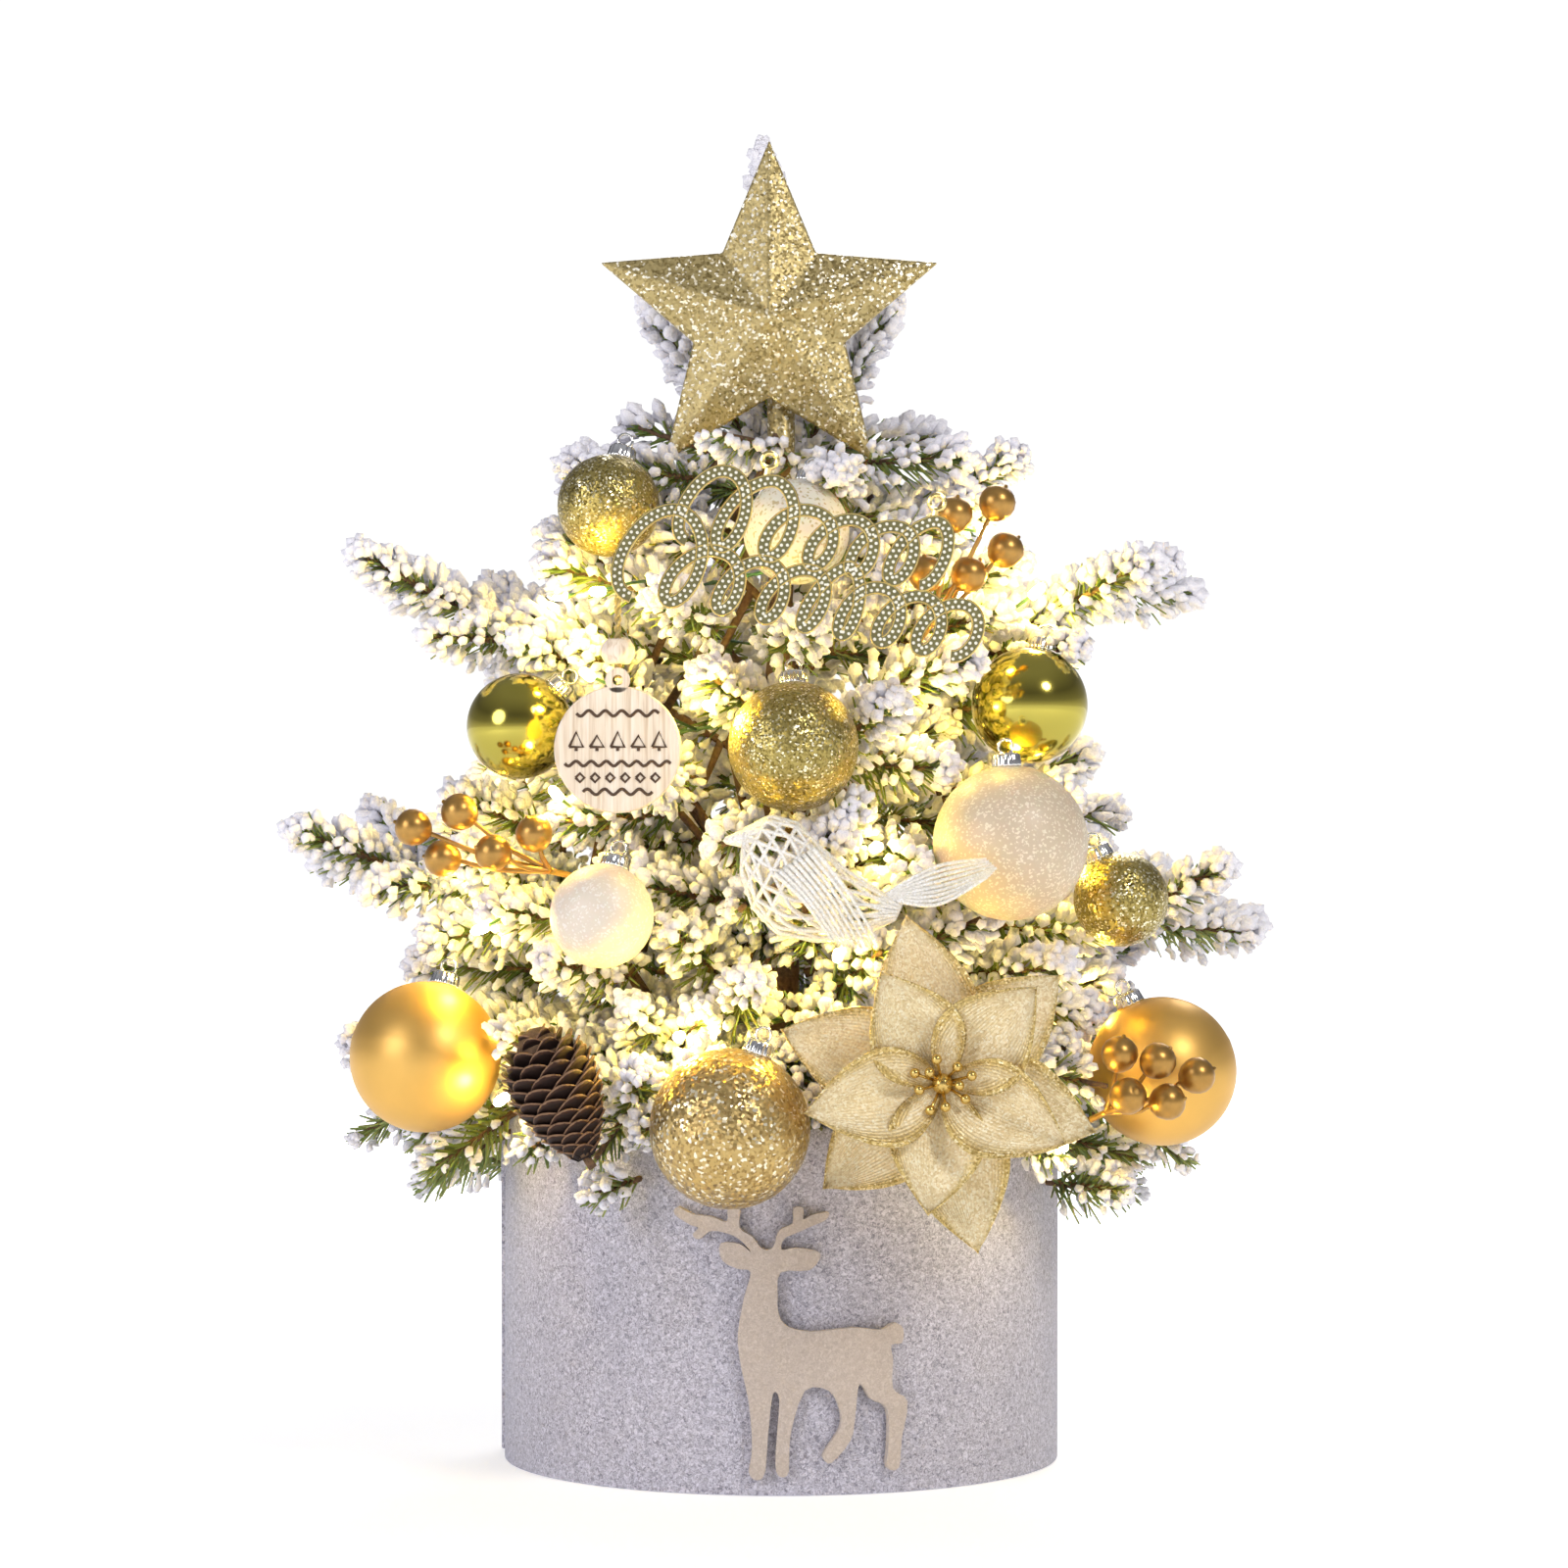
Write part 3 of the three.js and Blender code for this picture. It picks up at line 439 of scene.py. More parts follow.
MATERIALS = {
    "pot_felt": felt("pot_felt", (0.19, 0.18, 0.23), (0.47, 0.46, 0.54), (0.74, 0.72, 0.81), 0.0011),
    "deer_felt": felt("deer_felt", (0.46, 0.385, 0.33), (0.54, 0.46, 0.40), (0.64, 0.56, 0.50), 0.0011),
    "plastic": speckled("black_plastic", (0.02, 0.02, 0.022), 0.5, 0.0008, 0.3, 0.0001),
    "plaster": speckled("plaster", (0.66, 0.63, 0.57), 0.95, 0.004, 0.12, 0.001),
    "green": mottled("needle_green", (0.12, 0.22, 0.05), 0.55,
                     [(0.3, (0.08, 0.14, 0.035)), (0.5, (0.21, 0.29, 0.07)), (0.7, (0.40, 0.46, 0.17))],
                     {"Scale": 60.0, "Detail": 4.0}, Subsurface_Weight=0.15, Subsurface_Scale=0.002),
    "flock": mottled("flock_white", (0.9, 0.9, 0.92), 1.0, [(0.25, (0.76, 0.75, 0.83)), (0.6, (0.92, 0.91, 0.96))],
                     {"Scale": 1400.0, "Detail": 3.0}, (0.8, 0.0006), Sheen_Weight=0.2),
    "stem": speckled("stem_brown", (0.13, 0.075, 0.04), 0.9, 0.0012, 0.4, 0.0004),
    "star": glitter("star_glitter", (0.19, 0.14, 0.045), (0.45, 0.36, 0.16), (1.0, 0.96, 0.82),
                    0.0008, 0.15, 0.42, 0.7),
    "gold_glitter": glitter("gold_glitter", (0.15, 0.11, 0.02), (0.42, 0.335, 0.105), (1.0, 0.93, 0.66),
                            0.0006, 0.25, 0.3, 0.85),
    "champagne": glitter("champagne_glitter", (0.30, 0.19, 0.06), (0.57, 0.41, 0.16), (1.0, 0.94, 0.74),
                         0.0009, 0.26, 0.3, 0.8),
    "mirror": speckled("mirror_gold", (0.48, 0.41, 0.08), 0.13, 0.05, 0.05, 0.0, Metallic=1.0),
    "satin": speckled("satin_gold", (0.76, 0.46, 0.12), 0.43, 0.02, 0.06, 0.0001, Metallic=0.78),
    # The last number of each frosted shell is its painted glow.
    "frosted": frosted("frosted_cream", (0.61, 0.50, 0.36), (0.80, 0.71, 0.56), 0.0006, 0.01),
    "frosted_white": frosted("frosted_white", (0.73, 0.65, 0.54), (0.84, 0.79, 0.71), 0.0006, 0.01),
    "speckle_shell": frosted("speckle_shell", (0.74, 0.71, 0.62), (0.50, 0.42, 0.24), 0.0008, 0.02),
    "chrome": speckled("cap_chrome", (0.80, 0.80, 0.79), 0.16, 0.006, 0.06, 0.0001, Metallic=1.0),
    "plaque_face": speckled("plaque_face", (0.17, 0.155, 0.06), 0.5, 0.004, 0.12, 0.0002, Metallic=0.25),
    "plaque_edge": speckled("plaque_edge", (0.80, 0.64, 0.26), 0.22, 0.004, 0.08, 0.0001, Metallic=1.0),
    "stud": speckled("plaque_stud", (0.93, 0.90, 0.78), 0.3, 0.004, 0.05, 0.0001, Metallic=0.2),
    "wood": mottled("maple", (0.72, 0.54, 0.33), 0.6,
                    [(0.3, (0.60, 0.45, 0.30)), (0.5, (0.82, 0.69, 0.53)), (0.7, (0.90, 0.80, 0.67))],
                    {"Scale": 760.0, "Detail": 5.0, "Distortion": 0.6}, (0.3, 0.0002), (1, 1, 0.05)),
    "burn": speckled("burnt_line", (0.08, 0.045, 0.025), 0.8, 0.001, 0.3, 0.0001),
    "cord": speckled("gold_cord", (0.42, 0.33, 0.12), 0.6, 0.0007, 0.3, 0.0002),
    "white_glitter": glitter("white_glitter", (0.72, 0.69, 0.62), (0.90, 0.87, 0.80), (1, 1, 1),
                             0.0005, 0.25, 0.4, 0.1),
    "stamen": speckled("stamen_gold", (0.66, 0.47, 0.15), 0.25, 0.002, 0.1, 0.0001, Metallic=1.0),
    "berry": speckled("berry_copper", (0.46, 0.26, 0.07), 0.34, 0.003, 0.12, 0.0001, Metallic=0.85),
    "wire": speckled("wire_green", (0.04, 0.11, 0.04), 0.35, 0.002, 0.2, 0.0001),
    "lamp": emitter("lamp_glow", (1.0, 0.80, 0.36), 60.0),
    "petal": petal_cloth(), "cone": cone_paint(), "floor": floor_paint(),
}


# ---------- stage, camera and light ----------
# Name, place, target, size, watts and colour of each studio light.
LIGHTS = [
    ("key", (1.0, -1.3, 1.35), (0, 0, 0.22), 0.45, 13.5, (1.0, 0.96, 0.92)),
    ("fill", (-1.3, -1.25, 0.8), (0, 0, 0.2), 0.9, 11.5, (0.94, 0.93, 1.0)),
    ("back", (0.3, 1.5, 1.2), (0, 0, 0.2), 0.9, 13, (1.0, 1.0, 1.0)),
]
FLOOR_HALF = 12.0
FLOOR_LEVEL = -0.0002


def add_camera():
    """Level, 1.6 m in front of the tree's middle, at half the photographed height."""
    data = bpy.data.cameras.new("camera")
    data.lens = 108
    data.sensor_width = 36
    camera = linked("camera", data, (0.001, -1.6, 0.228))
    camera.rotation_euler = (pi / 2, 0, 0)
    bpy.context.scene.camera = camera


def area_light(name, place_at, target, size, power, colour):
    data = bpy.data.lights.new(name, "AREA")
    data.shape = "DISK"
    data.size = size
    data.energy = power
    data.color = colour
    light = linked(name, data, place_at)
    light.rotation_euler = (Vector(target) - Vector(place_at)).to_track_quat("-Z", "Y").to_euler()


def add_studio():
    """A pale world that is white to the camera, three soft lights and a floor."""
    bpy.context.scene.view_settings.view_transform = "Standard"
    world = bpy.data.worlds.new("studio")
    world.use_nodes = True
    tree = world.node_tree
    tree.nodes.clear()
    height = node(tree, "SeparateXYZ", {0: node(tree, "TexCoord").outputs["Generated"]})
    shade = ramp(tree, height.outputs["Z"], [(0.0, (1.0, 0.99, 0.98)), (0.14, (0.40, 0.40, 0.42)),
                                             (0.4, (0.18, 0.18, 0.205)), (0.9, (0.46, 0.465, 0.5))])
    soft = node(tree, "Background", {"Color": shade, "Strength": 0.78})
    seen = node(tree, "Background", {"Color": (1, 1, 1, 1), "Strength": 1.1})
    chosen = node(tree, "MixShader", {0: node(tree, "LightPath").outputs["Is Camera Ray"],
                                                1: soft.outputs[0], 2: seen.outputs[0]})
    node(tree, "OutputWorld", {"Surface": chosen.outputs[0]})
    bpy.context.scene.world = world
    for light in LIGHTS:
        area_light(*light)
    corners = [(x * FLOOR_HALF, y * FLOOR_HALF, 0) for x, y in ((-1, -1), (1, -1), (1, 1), (-1, 1))]
    flat = mesh_piece("floor", corners, [[0, 1, 2, 3]], ["floor"], smooth=False)
    flat.location.z = FLOOR_LEVEL


# ---------- pot ----------
FELT_THICK = 0.0028
SEAM_AT = radians(163)
SEAM_LAP = radians(9)
SEAM_RISE = radians(6)


def add_felt_wall():
    """One felt band, its last stretch lapped over its start at the left."""
    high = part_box("felt_pot_wall")[1]
    radius, height = high.x, high.z
    steps, rows = 180, 14
    vertices = []
    for i in range(steps + 1):
        gone = i / steps * (TURN + SEAM_LAP)
        angle = SEAM_AT + gone
        over = max(0.0, (gone - TURN + SEAM_RISE) / SEAM_RISE)
        inner = radius - 0.003 + 0.0031 * min(1, over)
        for r in (inner, inner + FELT_THICK):
            for k in range(rows + 1):
                level = k / rows
                ripple = 0.0005 * sin(5 * angle) * level ** 2 + 0.0003 * sin(13 * angle + 2) * level
                z = height * level + (0.0006 * sin(3 * angle + 1) * level)
                vertices.append(((r + ripple) * cos(angle), (r + ripple) * sin(angle), z))
    per = 2 * (rows + 1)
    faces = []
    for i in range(steps):
        a, b = i * per, (i + 1) * per
        for k in range(rows):
            faces.append([a + k, a + k + 1, b + k + 1, b + k])
            o = rows + 1 + k
            faces.append([a + o, b + o, b + o + 1, a + o + 1])
        faces.append([a, b, b + rows + 1, a + rows + 1])
        faces.append([a + rows, a + 2 * rows + 1, b + 2 * rows + 1, b + rows])
    for base, flip in ((0, False), (steps * per, True)):
        for k in range(rows):
            face = [base + k, base + rows + 1 + k, base + rows + 2 + k, base + k + 1]
            faces.append(face[::-1] if flip else face)
    piece = mesh_piece("pot_felt_band", vertices, faces, ["pot_felt"])
    soften(piece, 0.0006)
    place(piece, "tree", "pot_felt", "felt_pot_wall")


def soften(piece, width, angle=50, segments=2):
    """Rounds a piece's sharp edges."""
    edges = piece.modifiers.new("soft_edges", "BEVEL")
    edges.width = width
    edges.segments = segments
    edges.limit_method = "ANGLE"
    edges.angle_limit = radians(angle)


def add_felt_bottom():
    low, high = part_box("felt_pot_bottom")
    radius, height = high.x, high.z
    profile = [(0, low.z), (radius - 0.0004, low.z), (radius, low.z + 0.0005), (radius, height - 0.0005),
               (radius - 0.0005, height), (0, height)]
    piece = mesh_piece("pot_felt_floor", *turned(profile, 96), ["pot_felt"])
    place(piece, "tree", "pot_felt", "felt_pot_bottom")


DEER_THICK = 0.0024
# The cut-out's outline, across and up from the pot's foot, in millimetres.
DEER = [
    (-9.5, 72), (-11.5, 64), (-13.5, 52), (-12.5, 42), (-10, 30), (-9, 16), (-10, 8), (-7.5, 5.5), (-5, 8),
    (-4, 20), (-2.5, 33), (-0.5, 31), (-1.5, 17), (-1.5, 8.5), (0.5, 6.5), (2.5, 8.5), (3, 20), (7.5, 34),
    (15, 34), (18.5, 28), (18.5, 22), (13.5, 14.5), (13.5, 12), (16, 11), (22, 18), (23.5, 26), (24.5, 35),
    (26, 35), (28.5, 31), (34, 27.5), (34.5, 17), (34, 9), (38, 8.5), (39, 18), (41, 29.5),
    (36, 34), (36, 43), (35.5, 48), (39, 48.5), (39.5, 53), (36.5, 55), (32, 53), (23, 54),
    (10, 53), (2.5, 54.5), (-0.5, 58), (-1, 64), (0, 72), (9, 72.6), (12.4, 78), (5, 79.8), (0.3, 79.2),
    (1, 82.6), (5, 84.6), (9.5, 86.6), (14, 88.6), (15, 91), (10, 90.4), (7, 89), (7, 92.4), (4, 92.4), (3.6, 87.6),
    (-0.5, 85.4), (-2.6, 79.8), (-6, 79.6), (-9, 83.4), (-13, 86.2), (-13, 92.6), (-16.6, 92.4), (-17, 88),
    (-22, 89.6), (-28, 90.2), (-33, 92.4), (-34, 90), (-28.5, 86.6), (-26, 86), (-28, 83.6), (-26, 82.2),
    (-22, 85), (-16, 84), (-12, 81.6), (-9.4, 78.4), (-13, 81), (-19, 81), (-18.4, 75.6), (-13.5, 73),
]


def add_deer():
    """A felt deer, cut out flat and glued round the front of the pot."""
    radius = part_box("felt_pot_wall")[1].x + 0.0008
    line = smooth_path(np.array(DEER) * MM, 3, closed=True)
    shape = bmesh.new()
    ring = [shape.verts.new((x, 0, z)) for x, z in line]
    shape.faces.new(ring)
    for x in np.arange(-0.036, 0.042, 0.002):
        parts = shape.verts[:] + shape.edges[:] + shape.faces[:]
        bmesh.ops.bisect_plane(shape, geom=parts, plane_co=(x, 0, 0), plane_no=(1, 0, 0))
    bmesh.ops.triangulate(shape, faces=shape.faces[:])
    made = bmesh.ops.extrude_face_region(shape, geom=shape.faces[:])
    for v in made["geom"]:
        if isinstance(v, bmesh.types.BMVert):
            v.co.y = DEER_THICK
    for v in shape.verts:
        angle, r = v.co.x / radius, radius + v.co.y
        v.co.x, v.co.y = r * sin(angle), -r * cos(angle)
    bmesh.ops.recalc_face_normals(shape, faces=shape.faces[:])
    mesh = bpy.data.meshes.new("deer_felt_cutout")
    shape.to_mesh(mesh)
    shape.free()
    mesh.materials.append(MATERIALS["deer_felt"])
    piece = linked("deer_felt_cutout", mesh)
    soften(piece, 0.0005, 60)
    place(piece, "tree", "deer_felt", "deer_applique")


def dress_cad_nodes():
    """Hidden hard parts keep their CAD shape and get their own finish."""
    finishes = {
        "inner_pot": "plastic", "plaster_weight": "plaster", "battery_box": "plastic",
        "battery_cover": "plastic", "battery_switch": "plastic", "battery_cell_1": "chrome",
        "battery_cell_2": "chrome",
    }
    for name, key in finishes.items():
        cad = frame["nodes"][name]
        cad.data.materials.clear()
        cad.data.materials.append(MATERIALS[key])


def add_trunk():
    low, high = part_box("trunk")
    base, tip = 0.006, 0.0032
    profile = [(0, low.z), (base, low.z), (base, 0.23), (tip, 0.326), (tip, high.z - 0.001), (0, high.z)]
    rows = [(0, low.z)]
    for (r0, z0), (r1, z1) in zip(profile[1:-1], profile[2:-1]):
        steps = max(2, int((z1 - z0) / 0.004))
        for k in range(steps):
            wrap = 0.0003 * sin(k * pi / 2)
            rows.append((r0 + (r1 - r0) * k / steps + wrap, z0 + (z1 - z0) * k / steps))
    rows += [(tip, high.z - 0.001), (0, high.z)]
    piece = mesh_piece("taped_trunk", *turned(rows, 24), ["stem"])
    place(piece, "tree", "trunk_tape", "trunk")


# ---------- foliage ----------
# name, direction round the trunk, root height, reach, tip height, arch, side sprigs, sprig length
BRANCHES = [
    ("branch_low_left", 188, 118, 143, 110, 21, 5, 60),
    ("branch_low_right", -9, 116, 137, 102, 24, 5, 58),
    ("branch_low_front_left", -122, 122, 112, 108, 20, 5, 52),
    ("branch_low_front_right", -62, 120, 110, 104, 20, 5, 52),
    ("branch_low_back", 89, 119, 126, 106, 22, 5, 64),
    ("branch_mid_left", 176, 169, 157, 200, 6, 5, 66),
    ("branch_mid_right", 2, 161, 159, 177, 9, 5, 66),
    ("branch_mid_front", -97, 171, 106, 188, 8, 5, 56),
    ("branch_mid_back", 96, 173, 130, 192, 8, 5, 66),
    ("branch_high_left", 182, 230, 136, 298, 5, 5, 60),
    ("branch_high_right", -4, 233, 131, 303, 4, 5, 60),
    ("branch_high_back", 88, 229, 112, 284, 6, 5, 58),
    ("branch_top_left", 168, 284, 68, 341, 3, 4, 38),
    ("branch_top_right", 13, 282, 71, 331, 3, 4, 38),
]
LEADER_STEM = [(0, 8, 297), (0, 22, 331)]
LEADER_TIPS = [(-6, 26, 446), (-45, 24, 391), (38, 25, 392), (-20, 56, 396), (22, 54, 402)]
# Where a branch's own brush starts and where it gets thin, as shares of its stem.
BRUSH_START = 0.36
THIN_FROM = 0.74
# Short sprigs on the outer shell and inside it, spread from a height upwards, in millimetres.
FILLERS = 175
INNER_FILLERS = 40
FILLER_BASE = 90
FILLER_RISE = 262
FILLER_LENGTH = 44
FILLER_REACH = 13
NEEDLES_PER_MM = 2.1
NEEDLE_SAG = 0.05
# Clear room round a ball, and the felt wall's radius and top, kept free of needles.
BALL_ROOM = 0.0022
FELT_MIDDLE, FELT_ROOM, FELT_TOP = 0.0935, 0.0045, 0.1195
# Sprigs close behind the trunk, which shut the gaps beside it.
BACK_SPRIGS = [((-4, 14, 150), (34, 44, 166)), ((2, 12, 164), (12, 54, 174)), ((0, 16, 176), (-30, 44, 186)),
               ((4, 12, 200), (30, 42, 208)), ((-2, 14, 222), (-26, 40, 232)), ((2, 12, 284), (-18, 40, 300))]
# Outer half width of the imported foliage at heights, in millimetres.
SHELL = [(84, 130), (111, 138), (161, 126), (211, 121), (261, 107), (308, 84), (345, 64), (362, 44)]


def shell_width(height):
    return np.interp(height, *zip(*SHELL))


def spine(branch, share):
    turn, root, reach, tip, arch = branch[1:6]
    angle = radians(turn)
    rise = (tip - root) * share + arch * 4 * share * (1 - share)
    return np.array([reach * share * cos(angle), reach * share * sin(angle), root + rise])


def heading(yaw, pitch):
    """A unit step, turned round the trunk and lifted off the level."""
    return np.array([cos(pitch) * cos(yaw), cos(pitch) * sin(yaw), sin(pitch)])


def brush_lines(branch):
    """(from, to, needle reach) in millimetres of a branch's own brush and its side sprigs."""
    turn, sprigs, size = branch[1], *branch[6:]
    thin = spine(branch, THIN_FROM)
    lines = [(spine(branch, BRUSH_START), thin, 14), (thin, spine(branch, 1), 9.5)]
    for i in range(sprigs):
        side = 1 if i % 2 == 0 else -1
        start = spine(branch, 0.4 + 0.42 * i / (sprigs - 1))
        yaw = radians(turn + side * (56 - 4 * i))
        pitch = radians(16 + 16 * sin(2.3 * i + turn))
        lines.append((start, start + size * (1 - 0.08 * i) * heading(yaw, pitch), 11.5))
    return lines


def filler_lines(rng):
    """Short sprigs that fill the tree's outer shell, each given to its nearest branch."""
    owned = {}
    ends = {b[0]: spine(b, 0.7) for b in BRANCHES}
    for i in range(FILLERS + INNER_FILLERS):
        inner = i >= FILLERS
        share = (i - FILLERS + 0.5) / INNER_FILLERS if inner else (i + 0.5) / FILLERS
        # More of them low down, where the shell is wide.
        height = FILLER_BASE + FILLER_RISE * (1 - sqrt(1 - 0.93 * share)) / (1 - sqrt(0.07))
        angle = i * GOLDEN
        flat = 0.85 if sin(angle) < 0 else 0.92
        outer = shell_width(height) * rng.uniform(0.86, 1.0) * (0.62 if inner else 1)
        end = np.array([outer * cos(angle), outer * flat * sin(angle), height])
        if hypot(end[0], end[1]) < 108 and height < 118:
            end[2] = 124  # over the pot's rim
        lift = rng.uniform(-0.1, 0.5) if height > 130 else rng.uniform(-0.6, 0.15)
        sway = angle + rng.uniform(-0.4, 0.4)
        start = end - min(FILLER_LENGTH, outer * 0.62) * heading(sway, lift)
        nearest = min(ends, key=lambda name: np.linalg.norm(ends[name] - end))
        owned.setdefault(nearest, []).append((start, end, FILLER_REACH))
    return owned


def triangles(faces):
    """Each face as a fan of triangles."""
    return [(f[0], f[k], f[k + 1]) for f in faces for k in range(1, len(f) - 1)]


def strand_mesh(rings, radii, sides):
    """Closed strands: rings (n, k, 3) of centres, radii (n, k, sides); a point closes each end."""
    count, levels = rings.shape[:2]
    ahead = unit(rings[:, -1] - rings[:, 0])
    helper = np.where(np.abs(ahead[:, 2:3]) < 0.9, [[0.0, 0.0, 1.0]], [[1.0, 0.0, 0.0]])
    side = unit(np.cross(ahead, helper))
    up = np.cross(ahead, side)
    angles = 2 * np.pi * np.arange(sides) / sides
    ring = np.cos(angles)[None, :, None] * side[:, None, :] + np.sin(angles)[None, :, None] * up[:, None, :]
    body = rings[:, :, None, :] + radii[..., None] * ring[:, None, :, :]
    cap = radii.mean(axis=2)
    first = rings[:, 0] - ahead * cap[:, 0:1] * 0.6
    last = rings[:, -1] + ahead * cap[:, -1:] * 0.8
    vertices = np.concatenate([body.reshape(count, levels * sides, 3), first[:, None], last[:, None]], axis=1)
    faces = triangles(between_rings(levels, sides))
    end, top = levels * sides, (levels - 1) * sides
    for i in range(sides):
        j = (i + 1) % sides
        faces += [(end, j, i), (end + 1, top + i, top + j)]
    total = np.array(faces)[None] + (end + 2) * np.arange(count)[:, None, None]
    return vertices.reshape(-1, 3), total.reshape(-1, 3)


def keep_outs():
    """Places without needles: balls (centre, radius), columns from a centre to the front, and boxes, in metres."""
    balls, columns, boxes = [], [], []

    def guard(centre, ball, column):
        balls.append((centre, ball))
        columns.append((centre, column))

    for name in frame["nodes"]:
        if name.startswith("bauble"):
            centre, radius = bauble_place(name)
            balls.append((centre, radius + BALL_ROOM))
            if centre[1] < 0:
                columns.append((centre, radius * 0.93))
        elif name.startswith("cap"):
            guard(centre_of(name), 0.008, 0.0045)
    for spray in SPRAYS.values():
        for berry in spray["berries"]:
            guard(np.array(berry) * MM, 0.0072, 0.0062)
    for lamp in open_lamps():
        guard(lamp, 0.005, 0.0042)
    for step in (-0.015, -0.005, 0.005, 0.015):
        narrow = max(0, step - 0.003)
        guard(centre_of("pine_cone") + np.array(CONE_WAY) * step, 0.0165 - 0.2 * narrow, 0.0165 - 0.3 * narrow)
    flower = centre_of("flower_stamens")
    columns.append((np.array([flower[0], -0.117, flower[2]]), 0.045))
    for name, side, back in (("scrollwork_plaque", 0.002, 0.012), ("bird", 0.002, 0.014),
                             ("tag_disc", 0.006, 0.003), ("tag_bead", 0.002, 0.003)):
        low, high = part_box(name)
        boxes.append(([low.x - side, -0.2, low.z - side], [high.x + side, high.y + back, high.z + side]))
    low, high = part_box("star_front")
    boxes.append(([low.x, -0.2, low.z + 0.006], [high.x, 0.007, high.z + 0.065]))
    low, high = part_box("star_sleeve")
    boxes.append((np.array(low) - 0.002, np.array(high) + 0.002))
    return balls, columns, boxes


def clear_of(points, rules):
    """True for each strand whose points (n, k, 3) all stay out of the keep-outs and the felt."""
    balls, columns, boxes = rules
    ok = np.ones(len(points), bool)
    for centre, radius in balls:
        ok &= (np.linalg.norm(points - centre, axis=2) > radius).all(axis=1)
    for centre, radius in columns:
        off = np.hypot(points[..., 0] - centre[0], points[..., 2] - centre[2])
        ok &= ((off > radius) | (points[..., 1] > centre[1])).all(axis=1)
    for low, high in boxes:
        ok &= ~((points > low) & (points < high)).all(axis=2).any(axis=1)
    out = np.linalg.norm(points[..., :2], axis=2)
    ok &= ~((np.abs(out - FELT_MIDDLE) < FELT_ROOM) & (points[..., 2] < FELT_TOP)).any(axis=1)
    return ok


def sprig_needles(line, rng):
    """Roots, tips and flock weights of one sprig's needles."""
    start, end, reach = (np.asarray(line[0]) * MM, np.asarray(line[1]) * MM, line[2] * MM)
    axis = end - start
    length = np.linalg.norm(axis)
    axis = axis / length
    count = int(length / MM * NEEDLES_PER_MM)
    share = (np.arange(count) + rng.uniform(0, 1, count)) / count
    turn = np.arange(count) * GOLDEN + rng.uniform(-0.3, 0.3, count)
    lean = np.radians(np.interp(share, [0, 0.4, 0.9, 1], [58, 46, 30, 8]) + rng.normal(0, 6, count))
    helper = np.array([0, 0, 1.0]) if abs(axis[2]) < 0.9 else np.array([1.0, 0, 0])
    side = unit(np.cross(axis, helper))
    up = np.cross(side, axis)
    out = np.cos(turn)[:, None] * side + np.sin(turn)[:, None] * up
    direction = np.cos(lean)[:, None] * axis + np.sin(lean)[:, None] * out
    long = reach * np.interp(share, [0, 0.2, 0.8, 1], [0.9, 1.15, 1.0, 0.55]) * rng.uniform(0.88, 1.12, count)
    roots = start + axis * (share * length)[:, None]
    tips = roots + direction * long[:, None]
    bare = 0.34 * np.interp(tips[:, 2], [0.11, 0.165], [1, 0])  # less flock near the pot
    weight = 0.55 + 0.4 * direction[:, 2] + 0.25 * share - bare
    return roots, tips, weight


def sagging(roots, span, stations):
    """Points of needles at shares of their length, which sag towards their tips."""
    fall = np.array([0, 0, -1.0]) * np.linalg.norm(span, axis=1, keepdims=True)
    stations = stations[..., None]
    return roots[:, None] + span[:, None] * stations + NEEDLE_SAG * fall[:, None] * stations ** 2


def add_branch(name, stem_lines, lines, rng, rules):
    """One branch's needles, flock and stems, as one piece."""
    needles = [sprig_needles(line, rng) for line in lines]
    roots, tips, weight = (np.concatenate(parts) for parts in zip(*needles))
    probes = roots[:, None] + (tips - roots)[:, None] * np.array([0.3, 0.6, 0.85, 1.08])[None, :, None]
    ok = clear_of(probes, rules)
    roots, span, weight = roots[ok], (tips - roots)[ok], weight[ok]
    rings = sagging(roots, span, np.array([[0.0, 0.97]]))
    radii = np.array([0.0006, 0.0003])[None, :, None] * rng.uniform(0.8, 1.25, (len(roots), 1, 1))
    green, green_faces = strand_mesh(rings, np.broadcast_to(radii, (len(roots), 2, 3)), 3)

    flocked = rng.uniform(0, 1, len(roots)) < np.clip(weight + 0.12, 0.12, 0.96)
    roots, span, weight = roots[flocked], span[flocked], weight[flocked]
    begin = rng.uniform(0.5, 0.68, len(roots)) - 0.2 * np.clip(weight - 0.6, -0.3, 0.6)
    rings = sagging(roots, span, begin[:, None] + (1.04 - begin)[:, None] * np.linspace(0, 1, 4)[None])
    rings = rings + rng.normal(0, 0.00035, rings.shape)
    bulge = np.array([0.5, 0.95, 1.2, 0.95])[None] * rng.uniform(0.65, 1.3, (len(roots), 4))
    thick = 0.0014 * (0.75 + 0.5 * np.clip(weight, 0, 1.2))
    radii = (thick[:, None] * bulge)[..., None] * rng.uniform(0.78, 1.22, (len(roots), 4, 5))
    white, white_faces = strand_mesh(rings, radii, 5)

    stems = Build()
    for points in stem_lines:
        stems.add(*tube(np.asarray(points) * MM, np.linspace(0.0016, 0.0009, len(points)), 7))
    stem_faces = np.array(triangles(stems.faces))
    faces = np.concatenate([green_faces, white_faces + len(green), stem_faces + len(green) + len(white)])
    indices = np.repeat([0, 1, 2], [len(green_faces), len(white_faces), len(stem_faces)])
    piece = mesh_piece(name.replace("branch", "needles"), np.concatenate([green, white, *stems.vertices]), faces,
                       ["green", "flock", "stem"], indices)
    place(piece, "tree", "needles", name)


def pierces(points, balls):
    """True when a stem along points (millimetres) runs into one of the balls."""
    stem = np.array([a + (b - a) * t for a, b in zip(points, points[1:]) for t in np.linspace(0, 1, 9)]) * MM
    return any((np.linalg.norm(stem - centre, axis=1) < radius).any() for centre, radius in balls)


